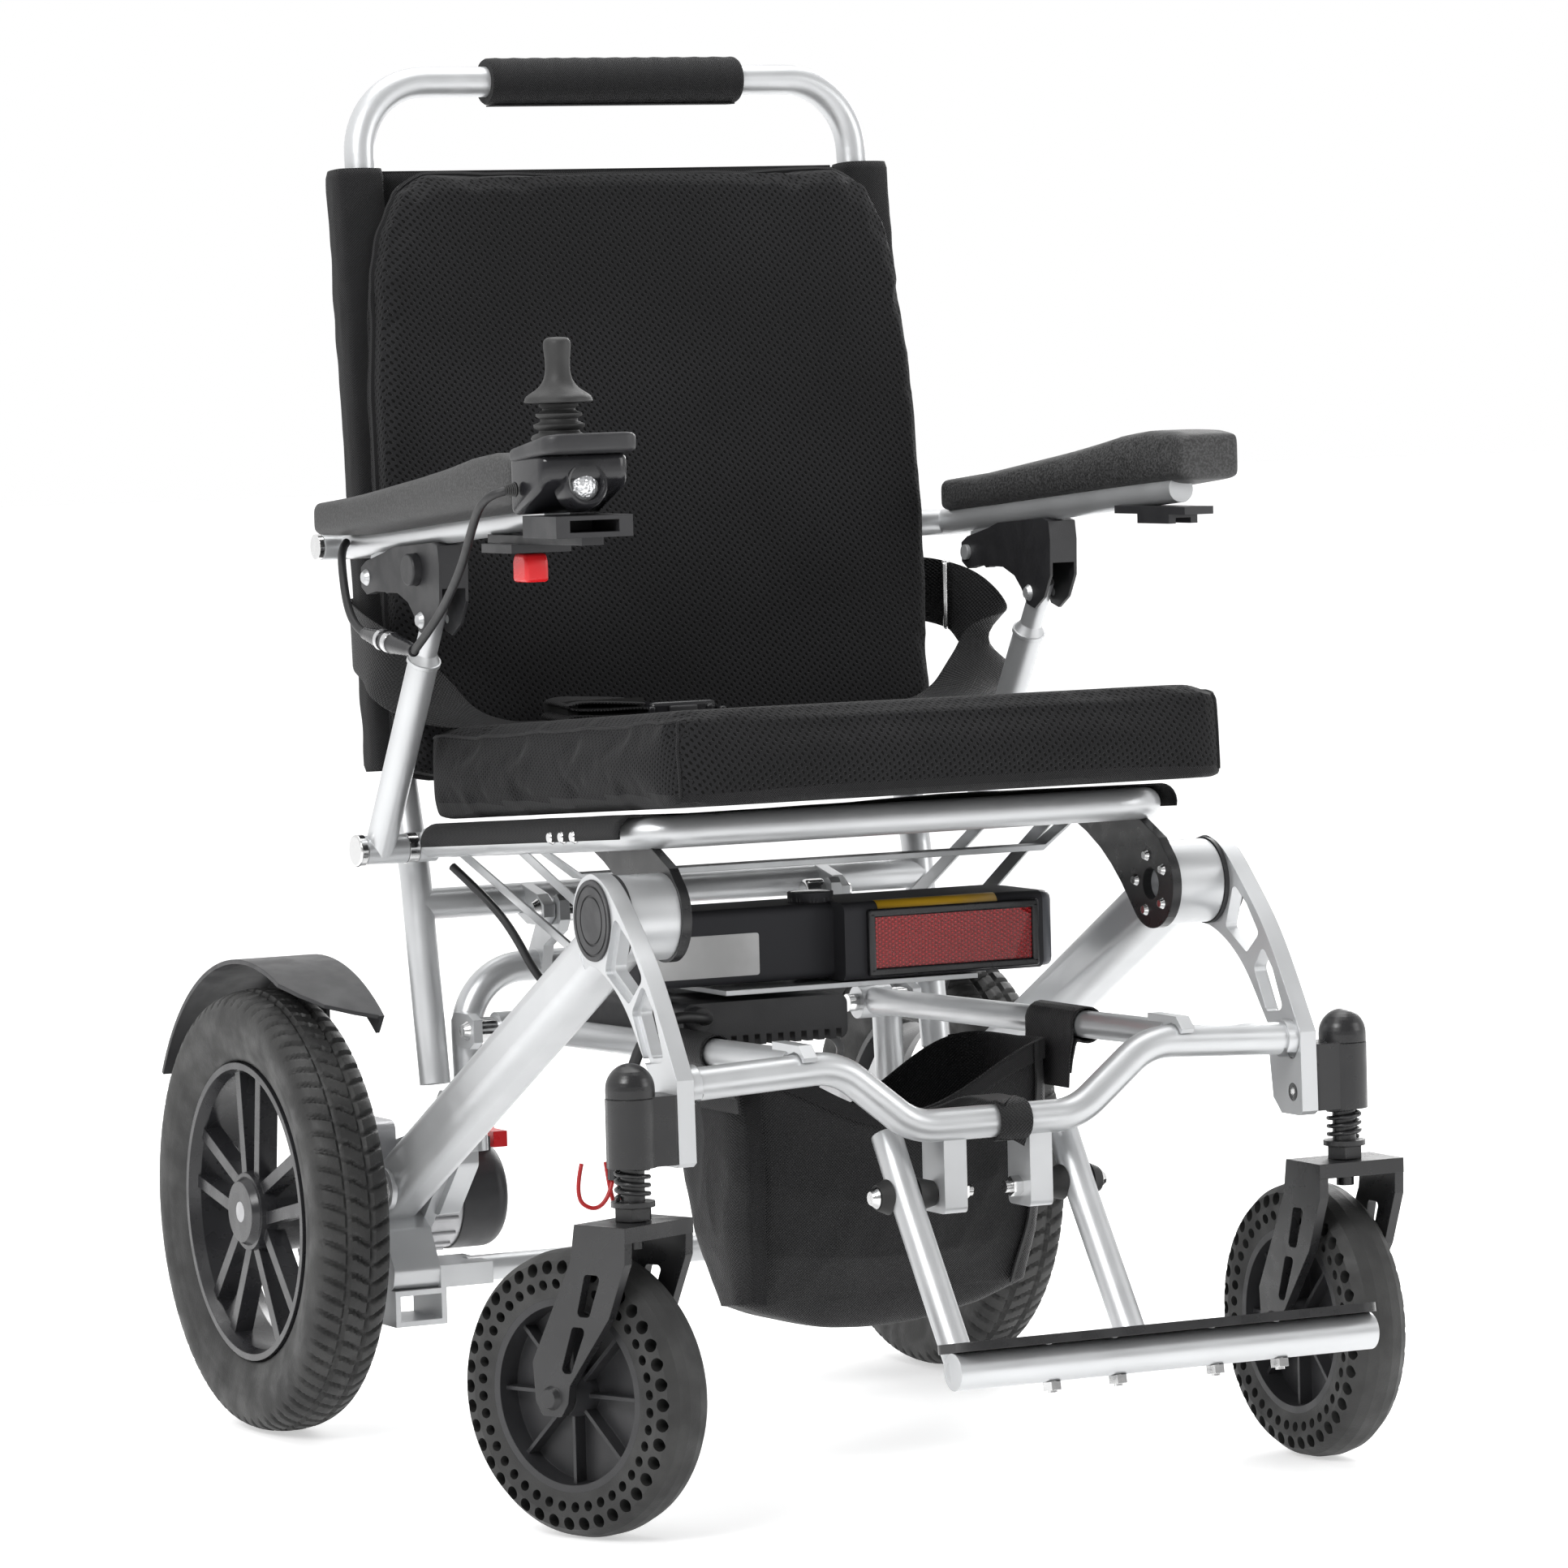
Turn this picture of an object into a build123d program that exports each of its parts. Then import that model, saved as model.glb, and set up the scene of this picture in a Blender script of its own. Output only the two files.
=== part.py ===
from build123d import *
import math
import os

# Folding power wheelchair, rebuilt as separate pieces.
# Working datum: X = 0 is the plane of symmetry, Y = 0 the rear axle,
# -Y is forward, Z = 0 the floor. Every export is moved by SHIFT so the
# bottom centre of the whole chair is the origin.

SHIFT = (15.9, 336.0, 0.0)

C3 = (Align.CENTER, Align.CENTER, Align.CENTER)
CMIN = (Align.CENTER, Align.CENTER, Align.MIN)

# ---- main stations -------------------------------------------------------
POST_X = 202.0            # back posts and seat side tubes
ARM_X = 240.0             # armrest tubes, struts and brackets
HUB = (-488.2, 397.2)     # fold hub axis (Y, Z)
AXLE = (0.0, 160.0)       # rear wheel axle
SEAT_C = (-137.0, 426.0)  # back fold axis at the seat rear
JBOLT = (-146.0, 377.0)   # lower back rest bolts
ARM_A = (-98.0, 640.0)    # armrest pivot on the back posts
FOOT_P = (-581.0, 209.0)  # footrest pivot
STEM = (270.0, -595.6)    # caster stem (X, Y)
DBOLT = (-145.0, 294.0)   # side tube bolts on the rear hoop
WHEEL_X = 273.0
R_REAR = 160.0
R_CAST = 95.0
TRAIL = 45.5
TOE = (-812.0, 126.0)      # axis of the foot plate's front tube
TOE_UP = 9.4               # the foot plate's rise towards the toes, degrees
PLATE_BOLTS = (-84, -36, 36, 84)
SWIVEL_R = 22.6
TUBE = 11.0
BACK_TILT = math.degrees(math.atan2(41.0, 449.0))


def box(x0, x1, y0, y1, z0, z1):
    b = Box(x1 - x0, y1 - y0, z1 - z0, align=(Align.MIN, Align.MIN, Align.MIN))
    return Location((x0, y0, z0)) * b


def rod(p, q, r):
    p, q = Vector(*p), Vector(*q)
    d = q - p
    return Plane(origin=p, z_dir=d.normalized()) * Cylinder(r, d.length, align=CMIN)


def ring(p, q, r, ri):
    p, q = Vector(*p), Vector(*q)
    d = q - p
    e = d.normalized() * 0.5
    return rod(p, q, r) - rod(p - e, q + e, ri)


def cone(p, q, r0, r1):
    p, q = Vector(*p), Vector(*q)
    d = q - p
    return Plane(origin=p, z_dir=d.normalized()) * Cone(r0, r1, d.length, align=CMIN)


def tube(pts, r, bend=40.0):
    path = Line(*pts) if len(pts) == 2 else FilletPolyline(*pts, radius=bend)
    sec = Plane(origin=path @ 0, z_dir=path % 0) * Circle(r)
    return sweep(sec, path=path)


def slab(pts, x0, x1, soft=0.0):
    face = make_face(Polyline(*pts, close=True))
    if soft:
        face = fillet(face.vertices(), soft)
    pl = Plane(origin=(x0, 0, 0), x_dir=(0, 1, 0), z_dir=(1, 0, 0))
    return extrude(pl * face, amount=x1 - x0)


def turned(pts, axis_loc):
    """Solid of revolution; pts are (radius, height) on a local Z axis."""
    face = make_face(Polyline(*[(a, 0, b) for a, b in pts], close=True))
    return axis_loc * revolve(face, Axis.Z)


def on_x(x, y, z):
    return Plane(origin=(x, y, z), x_dir=(0, 1, 0), z_dir=(1, 0, 0)).location


def mir(s):
    return mirror(s, about=Plane.YZ)


def both(s):
    return [s, mir(s)]


def one(*shapes):
    s = shapes[0]
    for t in shapes[1:]:
        s = s + t
    return s


def big(s):
    """The largest solid of a shape."""
    return sorted(s.solids(), key=lambda v: -v.volume)[0]


def soft_edges(s, r, pick=None):
    e = s.edges() if pick is None else pick(s.edges())
    for k in (1.0, 0.6, 0.3):
        try:
            t = fillet(e, r * k)
            if t.is_valid:
                return t
        except Exception:
            pass
    return s


def panhead(p, d, r, h, shank_r, shank_l):
    """Screw: p is the seat of the head, d points out of the head."""
    p, d = Vector(*p), Vector(*d).normalized()
    head = cone(p, p + d * h, r, r * 0.62)
    return head + rod(p - d * shank_l, p, shank_r)


def seat_z(y):
    return 430.0 + (-150.0 - y) * 22.5 / 332.0


# ---- screws shared by cuts and by the screw nodes ------------------------
def flange_screws():
    out = []
    for k in range(5):
        a = math.radians(4 + 72 * k)
        y, z = HUB[0] + 20 * math.cos(a), HUB[1] + 20 * math.sin(a)
        out.append(panhead((184, y, z), (-1, 0, 0), 4.2, 2.6, 2.5, 14))
    return out


def seat_screws():
    out = []
    for y in (-366.0, -384.0, -402.0):
        out.append(panhead((213.0, y, seat_z(y)), (1, 0, 0), 5.0, 3.0, 2.5, 25.0))
    return out


# ---- chassis -------------------------------------------------------------
def diagonal():
    # large rounded box tube from the hub drum down to the axle plate
    dy, dz = 0.8773, -0.48
    ln = 494.0
    pl = Plane(origin=(209.0, HUB[0] + 1.2, HUB[1] + 2.0), x_dir=(1, 0, 0), z_dir=(0, dy, dz))
    out = pl * extrude(RectangleRounded(36.0, 39.0, 12.0), amount=ln)
    inn = pl * extrude(RectangleRounded(31.0, 34.0, 9.5), amount=ln + 5)
    cut = box(100, 300, -80, 60, 60, 100)
    return out, inn, cut


def drum_bore():
    return rod((180, *HUB), (240, *HUB), 14.0)


def rear_frame():
    d_out, d_inn, d_cut = diagonal()
    drum = rod((191.0, *HUB), (226.0, *HUB), 29.0)
    side = one(d_out, drum) - (d_inn - rod((191.0, *HUB), (226.0, *HUB), 29.0)) - drum_bore()
    side = side - rod((226.0, *HUB), (240, *HUB), 60.0) - rod((170, *HUB), (191.0, *HUB), 60.0)
    # end cap of the box tube and the block below it
    end = slab([(-96, 150), (-52, 176), (-34, 146), (-58, 108), (-108, 108), (-112, 122)], 191.0, 227.0, 6)
    boss = rod((226.0, -104, 181), (230.0, -104, 181), 15.0)
    # plate that carries the gearmotor and the foot of the rear hoop
    plate = slab([(-140, 214), (-112, 226), (-30, 206), (44, 196), (44, 116), (-40, 108), (-60, 128)], 182.0, 191.3, 10)
    gus = slab([(-132, 238), (-104, 250), (-50, 190), (-60, 160), (-96, 158), (-132, 196)], 168.0, 184.0, 6)
    block = box(150, 191.2, -112, -60, 108, 124)
    rec = box(187, 227, -112, -62, 82, 108) - box(191, 223, -120, -62, 86, 104)
    side = one(side, end, boss, plate, gus, block, rec)
    hoop = tube([(169.5, -126, 206), (169.5, -118, 335), (-169.5, -118, 335), (-169.5, -126, 206)], TUBE, 46)
    link = slab([(-162, 384), (-158, 388), (-153, 386), (-152.5, 378), (-151.5, 373.0), (-146, 371.0), (-124, 371.5),
                 (-122, 366), (-108, 345), (-108, 330), (-128, 330), (-134, 350), (-158, 362), (-163, 370)], 105.0, 113.0)
    lug = slab([(-156, 286), (-156, 302), (-146, 306), (-124, 306), (-118, 300), (-118, 286), (-128, 282), (-148, 281)],
               173.0, 180.0)
    lower = tube([(-160, -86, 116), (160, -86, 116)], 9.5)
    body = one(side, mir(side), hoop, link, mir(link), lug, mir(lug), lower)
    body = body - rod((150, *DBOLT), (190, *DBOLT), 4.0) - rod((-150, *DBOLT), (-190, *DBOLT), 4.0)
    for s in flange_screws():
        body = body - s - mir(s)
    bolt = rod((215, -104, 181), (250, -104, 181), 5.0)
    body = body - bolt - mir(bolt)
    shaft = rod((150, *AXLE), (260, *AXLE), 42.0)
    return [body - shaft - mir(shaft)]


def axle_nuts():
    nut = Plane(origin=(230.0, -104, 181), z_dir=(1, 0, 0)) * extrude(RegularPolygon(9.5, 6), amount=8)
    w = rod((230.0, -104, 181), (231.5, -104, 181), 12.0)
    return nut + w + rod((215, -104, 181), (241.0, -104, 181), 5.0)


def seat_frame():
    p = [(-POST_X, -143, seat_z(-143)), (-POST_X, -482, 452.5), (POST_X, -482, 452.5), (POST_X, -143, seat_z(-143))]
    main = tube(p, TUBE, 42)
    lug = rod((198.0, *SEAT_C), (212.5, *SEAT_C), 10.5)
    g = one(main, lug, mir(lug))
    b = rod((190, *SEAT_C), (230, *SEAT_C), 4.0)
    g = g - b - mir(b)
    for s in seat_screws():
        g = g - s - mir(s)
    return [g]


def flange_plates():
    pts = [(-380, 437), (-384, 446), (-400, 453), (-462, 456), (-473, 442), (-486, 436), (-500, 429.5), (-510, 419),
           (-517, 407), (-519, 397), (-517, 386), (-510, 375), (-499, 368), (-488, 366.4), (-474, 369.5), (-463, 379),
           (-447, 396.4), (-434, 408), (-419.4, 418.6), (-400, 429)]
    s = slab(pts, 184.0, 190.9)
    s = s + rod((184, *HUB), (190.9, *HUB), 31.0)
    s = s - rod((180, *HUB), (200, *HUB), 11.0)
    s = s - seat_frame()[0]
    for f in flange_screws() + seat_screws():
        s = s - f
    return both(s)


def frame_screws():
    out = []
    for s in flange_screws() + seat_screws():
        out += both(s)
    n = axle_nuts()
    out += both(n)
    return out


def side_tubes():
    z1 = 303.0
    t = tube([(143.0, -146, DBOLT[1] + 1), (143.0, -581.0, z1)], 9.5)
    barrel = rod((132.0, *DBOLT), (158.0, *DBOLT), 12.0) - rod((120, *DBOLT), (170, *DBOLT), 4.0)
    swing = rod((120, *HUB), (170, *HUB), 220.0) - rod((118, *HUB), (172, *HUB), 130.9)
    t = big(t - (swing & box(120, 170, -640, -540, 250, 330)))
    s = one(t, barrel) - rod((120, *DBOLT), (170, *DBOLT), 4.0)
    tab = slab([(-560, 303), (-560, 316), (-598, 316), (-606, 308), (-604, 305), (-592, 311.5), (-580, 308)], 138, 148)
    s = one(s, tab) - rod((120, -593, 298.5), (170, -593, 298.5), 12.5)
    return both(s)


def side_tube_bolts():
    b = rod((131.0, *DBOLT), (180, *DBOLT), 4.0)
    head = cone((180.0, *DBOLT), (184.0, *DBOLT), 7.0, 4.5)
    wash = rod((158.0, *DBOLT), (173.0, *DBOLT), 9.0)
    tip = rod((124.0, *DBOLT), (132.0, *DBOLT), 6.5)
    s = one(b, head, wash, tip)
    return both(s)


def motors():
    x0, x1 = 105.0, 190.9
    gear = box(191.3, 236.0, -40, 42, 116, 222)
    gear = soft_edges(gear, 8, lambda e: e.filter_by(Axis.X))
    body = rod((138.0, *AXLE), (192.0, *AXLE), 38.0)
    ribs = []
    for k in range(18):
        a = math.radians(20 * k)
        y, z = AXLE[0] + 38.4 * math.cos(a), AXLE[1] + 38.4 * math.sin(a)
        ribs.append(rod((142.0, y, z), (178.0, y, z), 1.8))
    flange = rod((179.0, *AXLE), (190.0, *AXLE), 40.5)
    s = one(body, flange, *ribs) + gear
    shaft = rod((230.0, *AXLE), (298.0, *AXLE), 7.5)
    s = one(s, shaft)
    frame = diagonal()[0]
    end = slab([(-96, 150), (-52, 176), (-34, 146), (-58, 108), (-108, 108), (-112, 122)], 191.0, 227.0, 6)
    s = s - frame - end
    return both(big(s))


def motor_caps():
    cap = rod((99.0, *AXLE), (138.0, *AXLE), 39.5)
    cap = soft_edges(cap, 12, lambda e: e.filter_by(GeomType.CIRCLE).sort_by(Axis.X)[:1])
    neck = rod((112, -14, 196), (112, -14, 204.0), 9.0)
    s = one(cap, neck) - rod((112, -14, 180), (112, -14, 210), 4.0)
    s = s - rod((137.9, *AXLE), (150, *AXLE), 38.0)
    return both(s)


def clutch_lever():
    pivot = rod((112, -14, 184.0), (112, -14, 208.0), 3.95)
    disc = rod((112, -14, 204.3), (112, -14, 209.0), 10.0)
    arm = box(106.5, 117.5, -46, -14, 205.0, 209.0)
    arm = one(arm, box(106.5, 117.5, -48, -42, 197.5, 209.0))
    return one(disc, arm, pivot)


def fenders():
    pl = on_x(228.0, *AXLE)
    ring_o = pl * extrude(Circle(182.0), amount=63.0)
    s = ring_o - on_x(231.0, *AXLE) * extrude(Circle(178.8), amount=95.0)
    s = s - on_x(220.0, *AXLE) * extrude(Circle(166.0), amount=110.0)
    a0, a1 = math.radians(29), math.radians(127)
    far = 400.0
    wedge = slab([AXLE, (AXLE[0] + far * math.cos(a0), AXLE[1] + far * math.sin(a0)),
                  (AXLE[0] + far, AXLE[1] + far), (AXLE[0] - far * 0.3, AXLE[1] + far * 1.3),
                  (AXLE[0] + far * math.cos(a1), AXLE[1] + far * math.sin(a1))], 200, 340)
    s = s & wedge
    # the outer front corner is swept away in a curve
    cy, cz = math.cos(math.radians(121)), math.sin(math.radians(121))
    nose = Plane(origin=(0, 150 * cy, AXLE[1] + 150 * cz), x_dir=(1, 0, 0), z_dir=(0, cy, cz))
    sweep_line = [(310, 34), (291, 30), (282, 14), (268, -2), (248, -12), (232, -18), (232, -40), (310, -40)]
    s = s - nose * extrude(make_face(Polyline(*sweep_line, close=True)), amount=60)
    stay = slab([(-12, 334), (12, 334), (12, 222), (-12, 222)], 228.0, 231.0)
    stay = stay + box(214, 231, -12, 12, 222, 226)
    s = one(s, stay - on_x(226.0, *AXLE) * extrude(Circle(60.0), amount=10.0))
    return both(s)


def battery_cradle():
    def strap(y0, y1, top, zt, low, zl, t=4.0):
        pts = [(-top, zt), (-low, zl), (low, zl), (top, zt)]
        up = [(top + 2.2, zt + 3.2), (low + 1.6, zl + t), (-low - 1.6, zl + t), (-top - 2.2, zt + 3.2)]
        face = make_face(Polyline(*(pts + up), close=True))
        pl = Plane(origin=(0, y1, 0), x_dir=(1, 0, 0), z_dir=(0, -1, 0))
        return extrude(pl * face, amount=y1 - y0)
    a = strap(-314, -294, 207, 431, 96, 327)
    b = strap(-216, -196, 207, 424, 96, 327)
    c = strap(-345, -327, 205, 432, 180, 413)
    tray = box(-98, 98, -394, -190, 331, 334.5)
    tool = tube([(POST_X, -143, seat_z(-143)), (POST_X, -482, 452.5)], TUBE)
    tool2 = mir(tool)
    out = one(a, b, tray) - tool - tool2
    c = c - tool - tool2
    return [out, c]


def controller_box():
    s = box(-130, -4, -392, -232, 296, 326.9)
    s = soft_edges(s, 7, lambda e: e.filter_by(Axis.Y))
    for k in range(12):
        x = -112 + 9 * k
        s = s - box(x, x + 4.0, -400, -300, 294, 303)
    plug1 = rod((-121, -392, 317), (-121, -404, 317), 8.0)
    plug2 = rod((-124, -232, 312), (-124, -224, 312), 5.5)
    return [one(s, plug1, plug2)]


def wiring_loom():
    out = []
    out.append(tube([(-121, -404.2, 317), (-121, -424, 317), (-160, -440, 320), (-170, -452, 290), (-172, -462, 226)], 4.0, 7) - box(-140, -100, -404, -380, 290, 330))
    out.append(tube([(-172, -462, 226), (-172, -464, 204)], 6.5, 1))
    # seat rear to controller run of the hand control lead
    pts = [(-190, -150, 412), (-180, -170, 396), (-168, -196, 372), (-150, -206, 330), (-124, -206, 312), (-124, -224, 312)]
    out.append(tube(pts, 3.0, 8))
    # leads to the motors
    for sx in (1, -1):
        lead = tube([(sx * 66 - 60, -231.8, 304), (sx * 72 - 50, -190, 300), (sx * 128, -150, 268), (sx * 130, -76, 226), (sx * 130, -30, 196),
                     (sx * 130, -24, 176)], 3.0, 9)
        out.append(big(lead - motor_caps()[0] - motor_caps()[1] - box(-140, 20, -300, -231.9, 290, 330) - rod((-124, -234, 312), (-124, -223, 312), 5.5)))
    return out


def seat_pivot_bolts():
    b = rod((196.0, *SEAT_C), (252.0, *SEAT_C), 4.0)
    cap = rod((252.3, *SEAT_C), (259.0, *SEAT_C), 11.5)
    cap = soft_edges(cap, 1.5)
    spacer = rod((213.2, *SEAT_C), (220.7, *SEAT_C), 11.0)
    s = one(b, cap, spacer, rod((250, *SEAT_C), (254, *SEAT_C), 4.0))
    return both(s)


def tilt(s, pivot, deg):
    return Location(pivot) * (Rotation(deg, 0, 0) * (Location((-pivot[0], -pivot[1], -pivot[2])) * s))


SEAT_SLOPE = math.degrees(math.atan2(22.5, 332.0))


def seat_sling():
    # fabric laced over the side tubes, its top 14 mm above their axis
    s = box(-209, 209, -478, -148, 430 + TUBE - 0.0, 430 + TUBE + 4.0)
    s = tilt(s, (0, -150, 430), -SEAT_SLOPE)
    return [s]


def seat_cushion():
    s = box(-217, 217, -566, -148, 430 + TUBE + 4.0, 430 + TUBE + 4.0 + 62.0)
    s = soft_edges(s, 16, lambda e: e.filter_by(Axis.Z))
    s = soft_edges(s, 11, lambda e: e.group_by(Axis.Z)[-1])
    s = soft_edges(s, 8, lambda e: e.group_by(Axis.Z)[0])
    return [tilt(s, (0, -150, 430), -SEAT_SLOPE)]


def lap_belt():
    z0 = 430 + TUBE + 4.0 + 62.0
    # folded tails resting on the cushion
    tails = box(-128, 44, -206, -166, z0 + 0.3, z0 + 3.0)
    tails = tails + box(-120, -60, -206, -166, z0 + 3.0, z0 + 17.0) - box(-112, -66, -210, -160, z0 + 6.0, z0 + 14.0)
    tails = soft_edges(tails, 1.2, lambda e: e.filter_by(Axis.Y))
    buckle = box(-56, -4, -205, -167, z0 + 3.0, z0 + 13.0)
    buckle = soft_edges(buckle, 4)
    right = box(44, 196, -206, -168, z0 + 0.3, z0 + 2.8)
    rr = tilt(one(tails, buckle, right), (0, -150, 430), -SEAT_SLOPE)
    return [rr]


def storage_bag():
    out = [(-548, 292), (-556, 160), (-538, 134), (-350, 124), (-300, 176), (-296, 288)]
    inn = [(-545, 340), (-553, 162), (-536.5, 137.3), (-351.5, 127.3), (-303, 177.5), (-299, 340)]
    s = slab(out, -128, 128) - slab(inn, -125, 125)
    # a sleeve over each side tube
    y0, y1 = -486, -404
    zc = DBOLT[1] + 1 + (-(y0 + y1) / 2 - 146) * 8 / 435.0
    sl = rod((143, y0, zc), (143, y1, zc), 13.0) + box(125, 135, y0, y1, 284, zc)
    sl = sl - rod((143, y0 - 1, zc), (143, y1 + 1, zc), 10.4)
    s = s + sl + mir(sl)
    tool = side_tubes()
    s = s - tool[0] - tool[1]
    return [s]


# ---- front frame ---------------------------------------------------------
def arc_brackets():
    front = [(-488.2, 428.2), (-505.0, 422.6), (-530, 402), (-556, 376), (-578, 347), (-597, 317), (-607.5, 300)]
    rear = [(-566, 302), (-556.5, 314), (-535, 340), (-512, 357), (-488.2, 366.2)]
    outline = Wire([
        Edge.make_spline([Vector(a, b, 0) for a, b in front]),
        Edge.make_line(Vector(-607.5, 300, 0), Vector(-608.6, 246, 0)),
        Edge.make_line(Vector(-608.6, 246, 0), Vector(-604, 243, 0)),
        Edge.make_line(Vector(-604, 243, 0), Vector(-581, 243, 0)),
        Edge.make_line(Vector(-581, 243, 0), Vector(-570.5, 253, 0)),
        Edge.make_line(Vector(-570.5, 253, 0), Vector(-566.5, 281, 0)),
        Edge.make_line(Vector(-566.5, 281, 0), Vector(-566, 302, 0)),
        Edge.make_spline([Vector(a, b, 0) for a, b in rear]),
        Edge.make_three_point_arc(Vector(-488.2, 366.2, 0), Vector(-457.2, 397.2, 0), Vector(-488.2, 428.2, 0)),
    ])
    face = Face(outline)
    pl = Plane(origin=(229.5, 0, 0), x_dir=(0, 1, 0), z_dir=(1, 0, 0))
    s = extrude(pl * face, amount=12.5)
    w1 = slab([(-523, 397), (-540, 384), (-556, 364), (-539, 350), (-511, 366)], 225, 250, 4)
    w2 = slab([(-560.5, 356), (-573, 341), (-586, 314), (-564, 311), (-548, 340)], 225, 250, 4)
    p1 = slab([(-520, 402), (-543, 386), (-561, 363), (-539, 345), (-504, 364)], 238, 250, 5)
    p2 = slab([(-560.5, 360), (-576, 343), (-590, 311), (-561, 307), (-543, 340)], 238, 250, 5)
    s = s - w1 - w2 - p1 - p2
    s = s - rod((239.0, *HUB), (250, *HUB), 27.2)
    s = s + rod((197.0, *HUB), (230.0, *HUB), 13.95)
    for z in (287.5, 258.5):
        s = s - rod((220, -596, z), (260, -596, z), 3.0) - rod((220, -596, z), (232.4, -596, z), 6.35)
    s = s - rod((222.0, -593, 295.4), (229.5, -593, 295), 13.0)
    return both(s)


def hub_caps():
    cap = rod((239.0, *HUB), (243.5, *HUB), 27.0)
    groove = ring((242.6, *HUB), (244, *HUB), 24.0, 22.5) + ring((242.6, *HUB), (244, *HUB), 17.0, 15.5)
    wash = ring((226.4, *HUB), (229.5, *HUB), 30.0, 14.2)
    out = []
    for s in (cap - groove, wash):
        out += both(s)
    return out


def front_bar():
    pts = [(-229.5, -593, 295), (-118, -593, 300), (-62, -593, 255.5), (62, -593, 255.5), (118, -593, 300), (229.5, -593, 295)]
    bar = tube(pts, TUBE, 45)
    lug = box(24, 41, -597, -566, 196, 250)
    lug = soft_edges(lug, 4, lambda e: e.filter_by(Axis.X).group_by(Axis.Z)[0])
    collar = rod((222.0, -593, 295.4), (229.5, -593, 295), 13.0)
    s = one(bar, lug, mir(lug), collar, mir(collar))
    h = rod((10, *FOOT_P), (55, *FOOT_P), 3.95)
    s = s - h - mir(h)
    b = rod((220, -596, 287.5), (260, -596, 287.5), 3.5) + rod((220, -596, 287.5), (232.5, -596, 287.5), 6.5)
    brk = arc_brackets()
    return [s - b - mir(b) - brk[0] - brk[1]]


def caster_housings():
    x, y = STEM
    cyl = rod((x, y, 245.0), (x, y, 290.0), 16.5)
    arc = [(16.2 * math.cos(math.radians(a)), 296.0 + 16.9 * math.sin(math.radians(a))) for a in range(0, 91, 9)]
    dome = Location((x, y, 0)) * revolve(make_face(Polyline(*[(a, 0, b) for a, b in
                                                              [(0, 290.5), (16.2, 290.5)] + arc[:-1] + [(0, 312.9)]], close=True)), Axis.Z)
    foot = box(242.0, x, y - 13, y + 15, 245.5, 291)
    foot = soft_edges(foot, 2, lambda e: e.filter_by(Axis.Z))
    s = one(cyl, foot, dome, rod((x, y, 289), (x, y, 290.6), 15.5))
    s = s - rod((x, y, 240.0), (x, y, 283.0), 8.05)
    s = s - rod((x, y, 240.0), (x, y, 254.0), 13.0)
    for z in (287.5, 258.5):
        s = s - rod((220, -596, z), (262.0, -596, z), 3.0)
    return both(s)


def front_fasteners():
    out = []
    for z in (287.5, 258.5):
        head = rod((229.8, -596, z), (232.4, -596, z), 6.3) - \
            Plane(origin=(229.0, -596, z), z_dir=(1, 0, 0)) * extrude(RegularPolygon(3.0, 6), amount=2.2)
        sh = rod((232.4, -596, z), (254.0, -596, z), 2.95)
        out += both(one(head, sh))
    # footrest bolts with rubber cones
    b = rod((12.7, *FOOT_P), (85.0, *FOOT_P), 3.95)
    head = cone((84.6, *FOOT_P), (88.8, *FOOT_P), 7.5, 4.5)
    nut = Plane(origin=(17.0, *FOOT_P), z_dir=(1, 0, 0)) * extrude(RegularPolygon(7.0, 6), amount=7)
    out += both(one(b, head, nut))
    return out


# ---- footrest ------------------------------------------------------------
def footrest_frame():
    y0, z0 = FOOT_P
    y1, z1 = TOE
    rear = tilt(Location((66, -660, z1)) * Sphere(1.0), (0, *TOE), -TOE_UP).center()
    legs = tube([(66, -563, 248), (66, -595, 198), tuple(rear), (147, y1, z1)], 10.5, 22)
    front = rod((-154, y1, z1), (154, y1, z1), 12.0)
    s = one(legs, mir(legs), front)
    h = rod((40, *FOOT_P), (95, *FOOT_P), 4.0)
    s = s - h - mir(h)
    for x in PLATE_BOLTS:
        s = s - tilt(rod((x, y1, z1 - 30), (x, y1, z1 + 20), 3.0), (0, *TOE), -TOE_UP)
    return [s]


def footrest_rubbers():
    a = cone((56.0, *FOOT_P), (42.0, *FOOT_P), 12.0, 8.5)
    b = cone((76.2, *FOOT_P), (84.0, *FOOT_P), 12.0, 8.5)
    return a, b


def foot_plate():
    y1, z1 = TOE

    def outline(m, z, h, r):
        pts = [(-154 + m, -834.26 + m), (154 - m, -834.26 + m), (154 - m, -795), (98 - m, -690 - m), (-98 + m, -690 - m), (-154 + m, -795)]
        face = make_face(Polyline(*[(x, y, z) for x, y in pts], close=True))
        return soft_edges(extrude(face, amount=h, dir=(0, 0, 1)), r, lambda e: e.filter_by(Axis.Z))
    s = outline(0, z1 + 12, 6, 16) - outline(3.5, z1 + 15, 4, 13)
    for x in PLATE_BOLTS:
        s = s - rod((x, y1, z1), (x, y1, z1 + 21), 3.0)
    return [tilt(s, (0, *TOE), -TOE_UP)]


def foot_plate_bolts():
    y1, z1 = TOE
    out = []
    for x in PLATE_BOLTS:
        sh = rod((x, y1, z1 - 19), (x, y1, z1 + 15), 3.0)
        hd = rod((x, y1, z1 + 15), (x, y1, z1 + 17), 6.5)
        nut = Plane(origin=(x, y1, z1 - 17.5)) * extrude(RegularPolygon(6.6, 6), amount=5.5)
        tool = rod((-154, y1, z1), (154, y1, z1), 12.0)
        bolt = one(sh, hd, nut) - (tool - rod((x, y1, z1 - 29), (x, y1, z1 + 21), 3.0))
        out.append(tilt(bolt, (0, *TOE), -TOE_UP))
    return out


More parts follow.
